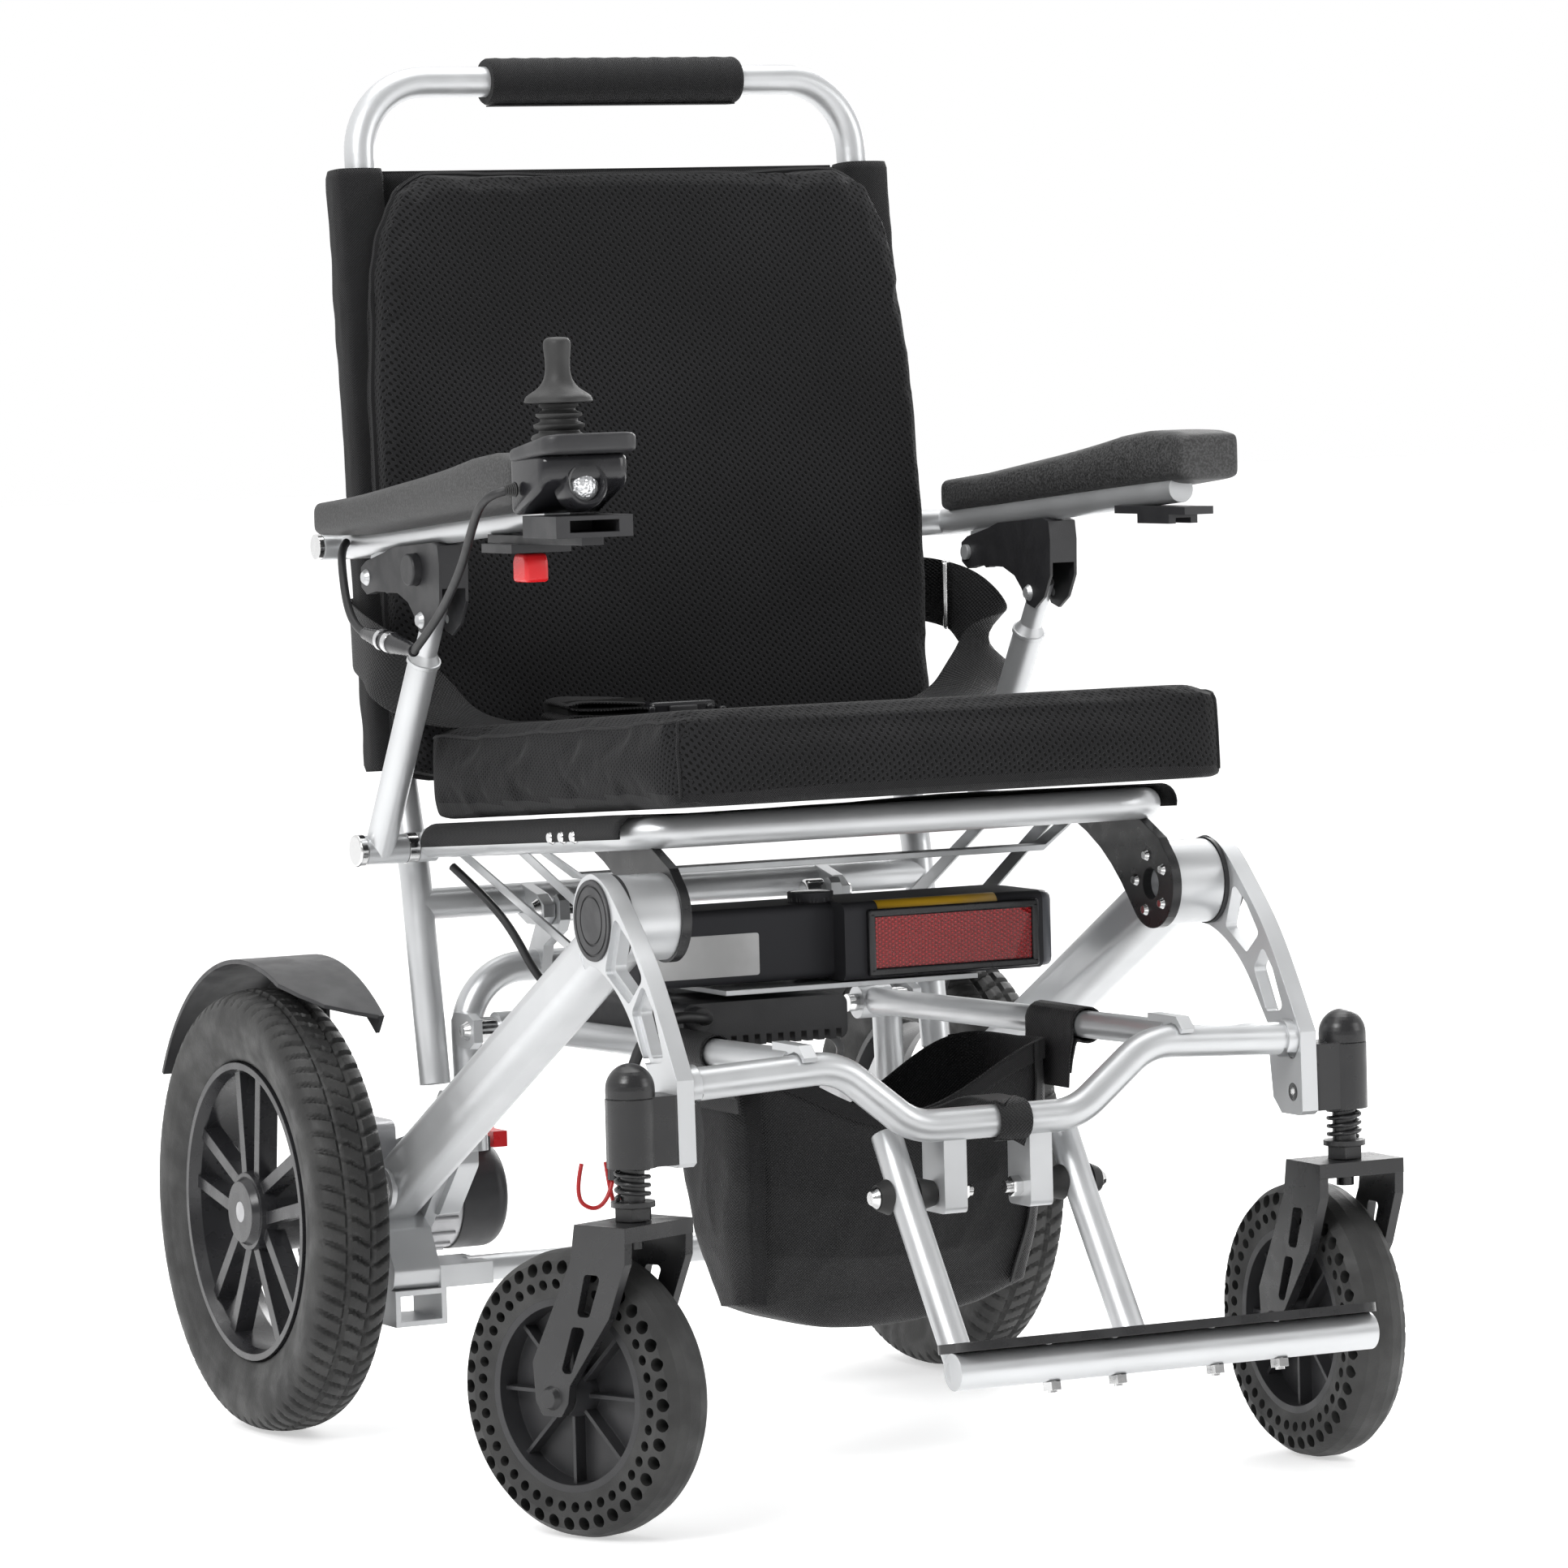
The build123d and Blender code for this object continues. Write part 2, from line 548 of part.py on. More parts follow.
# ---- casters (built at zero swivel on the +X side, the rider's left) ------
def c_stem():
    x, y = STEM
    shaft = rod((x, y, 200.0), (x, y, 274.0), 8.0)
    seat_ = rod((x, y, 219.5), (x, y, 223.0), 14.5)
    nut = Plane(origin=(x, y, 210.5)) * extrude(RegularPolygon(13.0, 6), amount=8.6)
    tip = rod((x, y, 192.0), (x, y, 200.0), 6.0)
    return one(shaft, seat_, nut, tip)


def c_spring():
    x, y = STEM
    h = Helix(pitch=5.5, height=27.5, radius=10.6, center=(x, y, 224.6))
    sec = Plane(origin=h @ 0, z_dir=h % 0) * Circle(1.5)
    return sweep(sec, path=h, is_frenet=True)


def c_axle_rel():
    x, y = STEM
    return (x, y + TRAIL, R_CAST)


def c_fork():
    x, y = STEM
    ax, ay, az = c_axle_rel()
    crown = box(x - 33.5, x + 33.5, y - 22, y + 22, 200.0, 210.0)
    prof = [(y - 22, 210), (y + 22, 210), (y + 26, 186), (ay + 16, 118), (ay + 14, 92), (ay + 8, 83), (ay - 8, 83),
            (ay - 14, 92), (ay - 16, 104), (y - 6, 150), (y - 21, 186)]
    leg = slab(prof, x + 26.5, x + 33.5)
    s1 = slab([(y + 0, 178), (y + 14, 178), (y + 22, 150), (y + 11, 150)], x + 20, x + 40, 3)
    s2 = slab([(y + 14, 143), (y + 26, 143), (y + 37, 112), (y + 28, 112)], x + 20, x + 40, 3)
    leg = leg - s1 - s2
    leg = soft_edges(leg, 2.0, lambda e: e.filter_by(Axis.X))
    leg2 = mirror(leg, about=Plane(origin=(x, 0, 0), z_dir=(1, 0, 0)))
    s = one(crown, leg, leg2)
    s = s - rod((x, y, 180), (x, y, 214), 8.05)
    s = s - rod((x - 50, ay, az), (x + 50, ay, az), 4.0)
    bolt = rod((x - 37, ay, az), (x + 37, ay, az), 3.95)
    return s, bolt


def c_bolt():
    x, ay, az = c_axle_rel()
    b = rod((x - 33.5, ay, az), (x + 33.5, ay, az), 4.0)
    h1 = cone((x + 33.5, ay, az), (x + 37.5, ay, az), 8.0, 6.0)
    h2 = cone((x - 33.5, ay, az), (x - 37.5, ay, az), 8.0, 6.0)
    return one(b, h1, h2)


def c_tyre():
    x, ay, az = c_axle_rel()
    pts = [(64, -19), (80, -21), (88, -19.5), (93, -13), (95, -5), (95, 5), (93, 13), (88, 19.5), (80, 21), (64, 19)]
    s = turned(pts, on_x(x, ay, az))
    holes = []
    n = 40
    for k in range(n):
        for r, hr, ph in ((84.2, 4.4, 0.0), (73.2, 3.4, 0.5)):
            a = 2 * math.pi * (k + ph) / n
            cy, cz = ay + r * math.cos(a), az + r * math.sin(a)
            holes.append(Pos(cy, cz) * Circle(hr))
    sk = Sketch() + holes
    pl0 = Plane(origin=(x - 30, 0, 0), x_dir=(0, 1, 0), z_dir=(1, 0, 0))
    cut = extrude(pl0 * sk, amount=60)
    return s - cut


def c_hub():
    x, ay, az = c_axle_rel()
    L = on_x(x, ay, az)
    rim = turned([(64, -19), (64, 19), (59, 19), (58, 4), (58, -4), (59, -19)], L)
    boss = turned([(4.05, -24), (4.05, 24), (13, 24), (15, 10), (15, -10), (13, -24)], L)
    disc = turned([(14, -3), (14, 3), (59, 3), (59, -3)], L)
    s = one(rim, boss, disc)
    for k in range(8):
        a = 45 * k
        rib = L * (Rotation(0, 0, a) * (Location((36.5, 0, 0)) * Box(46, 2.6, 26)))
        s = s + rib
    return s


def place_right(s):
    """Mirror a left-hand caster piece and give it the parked swivel."""
    x, y = STEM
    m = mirror(s, about=Plane.YZ)
    return Location((-x, y, 0)) * (Rotation(0, 0, SWIVEL_R) * (Location((x, -y, 0)) * m))


# ---- rear wheels ---------------------------------------------------------
def rear_tyre():
    L = on_x(WHEEL_X, *AXLE)
    pts = [(108, -19), (113, -22), (126, -26), (138, -28), (147, -27.5), (154, -24), (158.5, -15), (160, -5), (160, 5),
           (158.5, 15), (154, 24), (147, 27.5), (138, 28), (126, 26), (113, 22), (108, 19), (112, 12), (112, -12)]
    s = turned(pts, L)
    for zc in (-9.0, 9.0):
        s = s - L * (Location((0, 0, zc)) * extrude(Circle(162) - Circle(157.2), amount=2.4))
    return s


def rear_rim():
    L = on_x(WHEEL_X, *AXLE)
    barrel = turned([(111.8, -11.8), (111.8, 11.8), (107.8, 19), (107.8, 22.5), (103, 22.5), (100, 14), (100, -14),
                     (103, -22.5), (107.8, -22.5), (107.8, -19)], L)
    hub = turned([(7.55, -24), (7.55, 20), (28, 20), (30, 8), (30, -24)], L)
    s = one(barrel, hub)
    for k in range(5):
        a = 90 + 72 * k
        for b in (-9, 9):
            sp = Location((64, 0, 9)) * Box(78, 9, 14)
            sp = Location((0, 0, 0)) * (Rotation(0, 0, a) * (Location((0, b * 0.9, 0)) * (Rotation(0, 0, b * 0.7) * sp)))
            s = s + L * sp
    cap = turned([(0, 20), (0, 25), (22, 25), (25, 20)], L)
    s = one(s, cap)
    s = s & (L * Cylinder(112.5, 80))
    outer = L * Cylinder(200, 80) - L * Cylinder(108.2, 82)
    s = s - (outer & rear_tyre())
    s = s - rod((WHEEL_X - 40, *AXLE), (298.4, *AXLE), 7.55)
    return s


# ---- back body -----------------------------------------------------------
def post_path(sx=1):
    return [(sx * POST_X, -136, 257), (sx * POST_X, -112, 405), (sx * POST_X, -80, 512), (sx * POST_X, -38, 969)]


def back_frame():
    p = post_path(-1)
    q = post_path(1)
    pts = p[:3] + [(-POST_X + 4, -38.5, 969), (POST_X - 4, -38.5, 969)] + q[2::-1]
    main = tube(pts, TUBE, 52)
    cross = tube([(-POST_X, -115.5, 383.5), (POST_X, -115.5, 383.5)], TUBE)
    lug = slab([(-108, 391), (-120, 394), (-146, 388), (-157, 381), (-157, 372), (-149, 366), (-128, 366), (-108, 374)],
               114.0, 123.0)
    tab = slab([(-68, 628), (-96, 631), (-107, 640), (-98, 650), (-66, 653)], 196.0, 213.2)
    s = one(main, cross, lug, mir(lug), tab, mir(tab))
    j = rod((90, *JBOLT), (130, *JBOLT), 4.0)
    a = rod((190, *ARM_A), (230, *ARM_A), 5.0)
    s = s - j - mir(j) - a - mir(a)
    inner = []
    for sx in (1, -1):
        s = s - rod((sx * POST_X, -137.6, 247), (sx * POST_X, -128.3, 305), 9.0)
    return [s]


def back_struts():
    c = (ARM_X, *SEAT_C)
    top = (ARM_X, -246.5, 600.0)
    d = Vector(0, top[1] - c[1], top[2] - c[2])
    u = d.normalized()
    mid = Vector(*c) + u * 162.0
    low = rod(c, mid, 10.8)
    up = rod(mid, top, 8.0)
    sw = cone(mid, mid + u * 6.0, 11.0, 8.0) + rod(mid - u * 3, mid, 12.0)
    barrel = rod((221.0, *SEAT_C), (252.0, *SEAT_C), 10.4)
    s = one(low, barrel) - rod((210, *SEAT_C), (260, *SEAT_C), 4.05)
    s = big(one(s, up, sw))
    return both(s)


def back_bolts():
    b = rod((92.0, *JBOLT), (123.0, *JBOLT), 4.0)
    head = cone((123.0, *JBOLT), (127.5, *JBOLT), 8.0, 5.0)
    rub = rod((90.0, *JBOLT), (104.5, *JBOLT), 9.5)
    rub = soft_edges(rub, 3, lambda e: e.filter_by(GeomType.CIRCLE).sort_by(Axis.X)[:1])
    sp = rod((113.4, *JBOLT), (114.0, *JBOLT), 9.0)
    s = one(b, head, rub)
    # armrest pivot pins with black washers
    pin = rod((198.0, *ARM_A), (262.0, *ARM_A), 4.95)
    wash = rod((213.2, *ARM_A), (216.0, *ARM_A), 9.5)
    cap = rod((262.0, *ARM_A), (265.5, *ARM_A), 9.0)
    t = one(pin, wash, cap)
    return both(s) + both(t)


def handle_sleeve():
    s = rod((-96, -38.5, 969), (106, -38.5, 969), 17.0) - rod((-100, -38.5, 969), (110, -38.5, 969), TUBE)
    return [s]


def backrest():
    # local frame follows the upper part of the posts
    def loc(s):
        return Location((0, -80, 512)) * (Rotation(-BACK_TILT, 0, 0) * s)
    pad = box(-214, 214, -47, -12.0, -46, 396)
    pad = soft_edges(pad, 10, lambda e: e.filter_by(Axis.Z))
    sleeve = box(-222, -186, -20, 15, -30, 396)
    sleeve = soft_edges(sleeve, 9, lambda e: e.filter_by(Axis.Z))
    back = box(-190, 190, 2, 6, -30, 396)
    s = one(pad, sleeve, mir(sleeve), back)
    s = loc(s)
    s = s - back_frame()[0]
    eye = rod((213.2, *ARM_A), (216.0, *ARM_A), 11.5) + rod((190.0, *ARM_A), (214.0, *ARM_A), 5.3)
    return [big(s - eye - mir(eye))]


# ---- armrests ------------------------------------------------------------
ARM_END = (-446.0, 667.0)


def arm_tube(sx):
    a = (ARM_X, ARM_A[0] - 4, ARM_A[1] + 0.3)
    e = (ARM_X, *ARM_END)
    t = rod(a, e, 9.5)
    barrel = rod((216.3, *ARM_A), (261.7, *ARM_A), 9.5)
    tab = slab([(-180, 640), (-146, 634), (-143, 619), (-153, 609), (-163, 614), (-184, 630)], 236.0, 244.0)
    s = one(t, barrel, tab) - rod((210, *ARM_A), (270, *ARM_A), 5.0)
    s = s - rod((220, -153, 619), (260, -153, 619), 3.0)
    if sx > 0:
        # the rear fixing hole of the bare clamp goes on into the tube
        s = s - rod((ARM_X, -390, 640), (ARM_X, -390, 664), 2.6)
    return s


def arm_pad(sx, y_end):
    top = [(-112, 673), (-167, 676), (-231, 684), (-304, 693), (-376, 705), (-416, 709.5), (-455, 709), (-472, 708)]
    top = [p for p in top if p[0] > y_end] + [(y_end, 709)]
    bot = [(y_end, 673 if y_end < -460 else 672), (-440, 671), (-272, 658), (-112, 646.5)]
    bot = [p for p in bot if p[0] >= y_end]
    s = slab(top + bot, 226.0, 276.0)
    a, e = Vector(ARM_X, ARM_A[0] - 4, ARM_A[1] + 0.3), Vector(ARM_X, *ARM_END)
    u = (e - a).normalized()
    s = s - rod(a - u * 30, e + u * 1.5, 9.8) - rod((216.0, *ARM_A), (262.0, *ARM_A), 11.0)
    return big(s)


def arm_bracket(sx):
    out = [(-144, 612), (-144, 626), (-153, 630.5), (-185, 637), (-200, 641), (-266, 645), (-275, 643), (-277, 630),
           (-276, 604), (-266, 588), (-252, 580), (-241, 583), (-233, 594), (-223, 603), (-206, 609), (-168, 609.5), (-153, 607)]
    s = slab(out, 229.0, 251.0)
    s = s - rod((ARM_X, ARM_A[0] - 4, ARM_A[1] + 0.3), (ARM_X, *ARM_END), 9.5)
    s = s - slab([(-186, 650), (-186, 632), (-176, 606), (-130, 600), (-130, 650)], 235.9, 244.1)
    cav = slab([(-223, 570), (-223, 598), (-232, 613), (-290, 613), (-290, 570)], 231.2, 248.8)
    s = s - cav
    # button well
    s = s - rod((237.5, -238, 626), (256, -238, 626), 11.4)
    for y, z in ((-153, 619), (-244, 591)):
        s = s - rod((220, y, z), (260, y, z), 3.0)
    return s


def bracket_screws(sx):
    a = panhead((251.0, -153, 619), (1, 0, 0), 6.0, 3.0, 3.0, 0.1) + rod((226.5, -153, 619), (251, -153, 619), 3.0) + \
        rod((226.0, -153, 619), (229.0, -153, 619), 5.5)
    b = panhead((251.0, -244, 591), (1, 0, 0), 6.0, 3.0, 3.0, 2.1)
    c = panhead((229.0, -244, 591), (-1, 0, 0), 6.0, 3.0, 3.0, 2.1)
    return [a, b, c]


def button():
    return soft_edges(rod((243.0, -238, 626), (258.0, -238, 626), 11.1), 1.5,
                      lambda e: e.filter_by(GeomType.CIRCLE).sort_by(Axis.X)[-1:])


# hand control carriers under the tube ends
def carrier_bare():
    # bare clamp under the front of the left tube, with two fixing holes
    s = box(228.5, 251.5, -470, -372, 649.5, 655.0)
    s = s + box(228.5, 251.5, -448, -404, 643, 650) - box(234, 246, -450, -402, 640, 647)
    for y in (-460.0, -390.0):
        s = s - rod((ARM_X, y, 640), (ARM_X, y, 656), 2.6)
    return s - arm_tube(1)


HAND = dict(x0=-281.0, x1=-212.0, y0=-521.0, y1=-451.0)
STICK = (-257.0, -489.0)


def carrier_control():
    rail = box(-248, -232, -500, -352, 646.0, 651.5)
    rail = rail - rod((-ARM_X, -300, 656), (-ARM_X, *ARM_END), 9.6)
    clamp = box(-262, -218, -420, -372, 640.0, 646.0)
    post = box(-272, -216, -512, -460, 651.5, 666.0)
    post = post - box(-262, -226, -520, -470, 655.0, 663.0)
    s = one(rail, clamp, post)
    s = s - rod((-ARM_X, -396, 630), (-ARM_X, -396, 655), 3.05)
    s = s - rod((-ARM_X, ARM_A[0] - 4, ARM_A[1] + 0.3), (-ARM_X, *ARM_END), 9.5)
    return s


def clamp_lever():
    s = box(-249, -231, -414, -390, 618.0, 636.0)
    s = soft_edges(s, 2.5)
    s = s + box(-247, -233, -410, -392, 634.0, 639.7)
    return s + rod((-ARM_X, -396, 630), (-ARM_X, -396, 649.0), 3.0)


def hand_control():
    pts = [(-451, 668), (-451, 706), (-466, 711.5), (-512, 720.5), (-519, 719.5), (-521, 715), (-521, 701), (-508, 697),
           (-486, 691), (-476, 666.2), (-456, 666.2)]
    s = slab(pts, HAND['x0'], HAND['x1'])
    s = soft_edges(s, 3.5, lambda e: e.filter_by(Axis.X, reverse=True))
    # headlamp bezel
    lamp = Plane(origin=(-247, -481, 680), z_dir=(0, -1, 0.28)) * Cylinder(14.5, 20, align=CMIN)
    s = s + (lamp & box(-266, -228, -512, -470, 660, 700))
    x, y = STICK
    # well for the stick
    s = s - rod((x, y, 706.0), (x, y, 740.0), 15.5) - rod((x, y, 718.0), (x, y, 740.0), 20.0)
    return s


def stick_boot():
    x, y = STICK
    prof = [(6.5, 706.5), (14.6, 706.5), (14.6, 719), (18.5, 720.5), (18.5, 723.5), (11.5, 725), (11.5, 727.5),
            (17.0, 729), (17.0, 732), (11.0, 733.5), (11.0, 740.0), (6.5, 740.0)]
    face = make_face(Polyline(*[(a, 0, b) for a, b in prof], close=True))
    return Location((x, y, 0)) * revolve(face, Axis.Z)


def stick_knob():
    x, y = STICK
    prof = [(0, 709.0), (6.2, 709.0), (6.2, 740.3), (21.5, 740.3), (22.5, 742.5), (20.5, 745.5), (13.0, 751.0), (9.0, 757.0), (8.2, 766),
            (9.2, 778), (8.6, 781.0), (6.0, 783.0), (0, 783.6)]
    face = make_face(Polyline(*[(a, 0, b) for a, b in prof], close=True))
    return Location((x, y, 0)) * revolve(face, Axis.Z)


def control_lead():
    pts = [(-281, -470, 684), (-294, -469, 683), (-297, -448, 675), (-290, -418, 657), (-283, -384, 630), (-278, -345, 605),
           (-275, -312, 587), (-275, -285, 572)]
    a = tube(pts, 3.0, 9)
    conn = rod((-275, -285, 572), (-275, -203, 582), 7.5)
    pts2 = [(-275, -203, 582), (-275, -188, 585), (-273, -168, 600), (-268, -150, 624), (-262, -136, 639), (-252, -122, 643)]
    b = tube(pts2, 3.0, 9)
    return [one(a, conn, b)]


def battery_case():
    s = box(-158, 150, -382, -318, 337.0, 389.0)
    s = soft_edges(s, 6, lambda e: e.filter_by(Axis.X))
    head = box(-8, 148, -399, -317, 335.5, 389.5)
    head = soft_edges(head, 7, lambda e: e.filter_by(Axis.X))
    grip = box(146, 158, -376, -330, 342, 378)
    grip = soft_edges(grip, 5)
    knob = rod((-14, -360, 389), (-14, -360, 396), 16.0)
    s = one(s, head, grip, knob)
    s = s - box(14, 138, -400, -396.5, 343, 379)
    return [s]


def battery_reflector():
    s = box(14.2, 137.8, -401.0, -396.5, 343.2, 378.8)
    return [soft_edges(s, 2, lambda e: e.filter_by(Axis.Y))]


# ---- write ---------------------------------------------------------------
def build():
    parts = {}

    def put(name, shapes):
        shapes = shapes if isinstance(shapes, (list, tuple)) else [shapes]
        sol = []
        for s in shapes:
            sol += list(s.solids())
        parts[name] = [Location(SHIFT) * v for v in sol if v.volume > 20]

    put('rear_frame', rear_frame())
    put('seat_frame', seat_frame())
    put('flange_plates', flange_plates())
    put('frame_screws', frame_screws() + side_tube_bolts() + seat_pivot_bolts())
    put('side_tubes', side_tubes())
    put('battery_cradle', battery_cradle())
    put('controller_box', controller_box())
    put('motors', motors())
    put('motor_caps', motor_caps())
    put('fenders', fenders())
    put('storage_bag', storage_bag())
    put('wiring_loom', wiring_loom())
    put('seat_sling', seat_sling())
    put('seat_cushion', seat_cushion())
    put('lap_belt', lap_belt())
    put('arc_brackets', arc_brackets())
    put('hub_caps', hub_caps())
    put('front_bar', front_bar())
    put('caster_housings', caster_housings())
    put('front_fasteners', front_fasteners())
    ra, rb = footrest_rubbers()
    leg = footrest_frame()[0]
    hole = rod((30, *FOOT_P), (95, *FOOT_P), 4.0)
    put('footrest_rubbers', [r - hole - leg for r in (ra, rb)] + [mir(r - hole - leg) for r in (ra, rb)])
    put('footrest_frame', footrest_frame())
    put('foot_plate', foot_plate())
    put('foot_plate_bolts', foot_plate_bolts())
    stem, spring, (fork, _), tyre, hub, bolt = c_stem(), c_spring(), c_fork(), c_tyre(), c_hub(), c_bolt()
    fork = one(fork, bolt)
    for side, f in (('left', lambda s: s), ('right', place_right)):
        put('caster_stem_' + side, f(stem) if side == 'left' else mir(stem))
        put('caster_spring_' + side, f(spring) if side == 'left' else mir(spring))
        put('caster_fork_' + side, f(fork))
        put('caster_tyre_' + side, f(tyre))
        put('caster_hub_' + side, f(hub))
    rt, rr = rear_tyre(), rear_rim()
    put('rear_tyre_left', rt)
    put('rear_tyre_right', mir(rt))
    put('rear_rim_left', rr)
    put('rear_rim_right', mir(rr))
    put('back_frame', back_frame())
    put('back_struts', back_struts())
    put('back_bolts', back_bolts())
    put('handle_sleeve', handle_sleeve())
    put('backrest', backrest())
    for side, sx, ye in (('left', 1, -472.0), ('right', -1, -450.5)):
        f = (lambda s: s) if sx > 0 else mir
        put('arm_tube_' + side, [f(arm_tube(sx))] + [f(s) for s in bracket_screws(sx)])
        put('arm_pad_' + side, f(arm_pad(sx, ye)))
        extra = [carrier_bare()] if sx > 0 else [carrier_control()]
        put('arm_bracket_' + side, [f(arm_bracket(sx))] + extra)
        put('arm_button_' + side, f(button()))
    put('clamp_lever', clamp_lever())
    put('hand_control', hand_control())
    put('stick_boot', stick_boot())
    put('stick_knob', stick_knob())
    put('control_lead', control_lead())
    put('clutch_lever_left', clutch_lever())
    put('clutch_lever_right', mir(clutch_lever()))
    put('battery_case', battery_case())
    put('battery_reflector', battery_reflector())
    return parts


def main():
    os.makedirs("parts", exist_ok=True)
    parts = build()
    for name, sol in parts.items():
        export_step(sol[0] if len(sol) == 1 else Compound(children=sol), f"parts/{name}.step")
    boxes = [s.bounding_box() for v in parts.values() for s in v]
    print(len(parts), 'pieces', [round(min(getattr(b.min, a) for b in boxes), 2) for a in 'XYZ'],
          [round(max(getattr(b.max, a) for b in boxes), 2) for a in 'XYZ'])


if __name__ == "__main__":
    main()
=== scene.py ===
import bpy, bmesh, math
from mathutils import Vector, Matrix, noise
from mathutils.bvhtree import BVHTree


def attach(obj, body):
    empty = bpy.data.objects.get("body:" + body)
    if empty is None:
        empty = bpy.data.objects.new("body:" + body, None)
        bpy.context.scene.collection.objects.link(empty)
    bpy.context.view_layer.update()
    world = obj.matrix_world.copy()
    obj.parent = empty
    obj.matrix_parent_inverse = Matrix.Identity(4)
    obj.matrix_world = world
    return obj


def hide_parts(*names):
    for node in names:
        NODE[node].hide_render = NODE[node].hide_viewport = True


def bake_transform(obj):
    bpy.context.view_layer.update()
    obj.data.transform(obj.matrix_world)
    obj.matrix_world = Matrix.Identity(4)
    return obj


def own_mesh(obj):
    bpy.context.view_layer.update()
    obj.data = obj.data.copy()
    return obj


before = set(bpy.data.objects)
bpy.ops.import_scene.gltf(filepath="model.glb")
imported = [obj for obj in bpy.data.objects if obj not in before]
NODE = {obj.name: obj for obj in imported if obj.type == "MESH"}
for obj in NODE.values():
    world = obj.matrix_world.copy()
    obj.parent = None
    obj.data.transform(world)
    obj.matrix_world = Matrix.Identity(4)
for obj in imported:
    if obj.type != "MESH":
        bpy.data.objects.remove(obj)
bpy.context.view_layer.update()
scene = bpy.context.scene
# where the frame puts the origin of the chair datum, in mm
SX, SY = 15.9, 336.0


def D(x, y, z):
    """Point of the chair datum in mm, as a point of the shared frame in metres."""
    return Vector(((x + SX) / 1000, (y + SY) / 1000, z / 1000))


# ---------------------------------------------------------------- materials
class Net:
    def __init__(s, name, base=(0.5, 0.5, 0.5), rough=0.5, metal=0.0, **kw):
        s.m = bpy.data.materials.new(name)
        s.m.use_nodes = True
        s.t = s.m.node_tree
        s.b = s.t.nodes["Principled BSDF"]
        s.b.inputs["Base Color"].default_value = (*base, 1)
        s.b.inputs["Roughness"].default_value = rough
        s.b.inputs["Metallic"].default_value = metal
        for k, v in kw.items():
            s.b.inputs[k.replace("_", " ")].default_value = v
        s.tc = s.t.nodes.new("ShaderNodeTexCoord")
        s.nrm = None

    def node(s, kind, **kw):
        n = s.t.nodes.new(kind)
        for k, v in kw.items():
            setattr(n, k, v)
        return n

    def put(s, v, sock):
        if isinstance(v, (int, float)):
            sock.default_value = v
        elif isinstance(v, tuple):
            sock.default_value = v
        else:
            s.t.links.new(v, sock)

    def ma(s, op, a, b=None, c=None, clamp=False):
        n = s.node("ShaderNodeMath", operation=op, use_clamp=clamp)
        for i, v in enumerate((a, b, c)):
            if v is not None:
                s.put(v, n.inputs[i])
        return n.outputs[0]

    def xyz(s, out="Object"):
        n = s.node("ShaderNodeSeparateXYZ")
        s.t.links.new(s.tc.outputs[out], n.inputs[0])
        return n.outputs[0], n.outputs[1], n.outputs[2]

    def noise(s, scale, detail=3.0, rough=0.5, dist=0.0, stretch=None):
        n = s.node("ShaderNodeTexNoise")
        n.inputs["Scale"].default_value = scale
        n.inputs["Detail"].default_value = detail
        n.inputs["Roughness"].default_value = rough
        n.inputs["Distortion"].default_value = dist
        src = s.tc.outputs["Object"]
        if stretch:
            mp = s.node("ShaderNodeMapping")
            mp.inputs["Scale"].default_value = stretch
            s.t.links.new(src, mp.inputs["Vector"])
            src = mp.outputs[0]
        s.t.links.new(src, n.inputs["Vector"])
        return n.outputs["Fac"]

    def ramp(s, v, a, b, lo=0.0, hi=1.0):
        n = s.node("ShaderNodeMapRange", interpolation_type="SMOOTHSTEP")
        s.put(v, n.inputs["Value"])
        n.inputs["From Min"].default_value, n.inputs["From Max"].default_value = a, b
        n.inputs["To Min"].default_value, n.inputs["To Max"].default_value = lo, hi
        return n.outputs["Result"]

    def mix(s, f, a, b):
        n = s.node("ShaderNodeMix", data_type="RGBA")
        s.put(f, n.inputs["Factor"])
        for v, k in ((a, "A"), (b, "B")):
            sk = [i for i in n.inputs if i.name == k and i.type == "RGBA"][0]
            s.put((*v, 1) if isinstance(v, tuple) and len(v) == 3 else v, sk)
        return [o for o in n.outputs if o.type == "RGBA"][0]

    def colour(s, c):
        s.t.links.new(c, s.b.inputs["Base Color"])

    def rough(s, v):
        s.t.links.new(v, s.b.inputs["Roughness"])

    def bump(s, h, dist, strength=1.0):
        n = s.node("ShaderNodeBump")
        n.inputs["Strength"].default_value = strength
        n.inputs["Distance"].default_value = dist
        s.t.links.new(h, n.inputs["Height"])
        if s.nrm:
            s.t.links.new(s.nrm, n.inputs["Normal"])
        s.nrm = n.outputs[0]
        s.t.links.new(s.nrm, s.b.inputs["Normal"])
        return s

    def soft_edge(s, r=0.0007):
        n = s.node("ShaderNodeBevel", samples=3)
        n.inputs["Radius"].default_value = r
        s.nrm = n.outputs[0]
        s.t.links.new(s.nrm, s.b.inputs["Normal"])
        return s

    def faces_uv(s):
        """u, v in metres on whichever plane the surface faces."""
        x, y, z = s.xyz()
        nx, ny, nz = s.xyz("Normal")
        side = s.ma("GREATER_THAN", s.ma("ABSOLUTE", nx), 0.72)
        top = s.ma("GREATER_THAN", s.ma("ABSOLUTE", nz), 0.72)
        u = s.ma("ADD", s.ma("MULTIPLY", y, side), s.ma("MULTIPLY", x, s.ma("SUBTRACT", 1.0, side)))
        v = s.ma("ADD", s.ma("MULTIPLY", y, top), s.ma("MULTIPLY", z, s.ma("SUBTRACT", 1.0, top)))
        return u, v

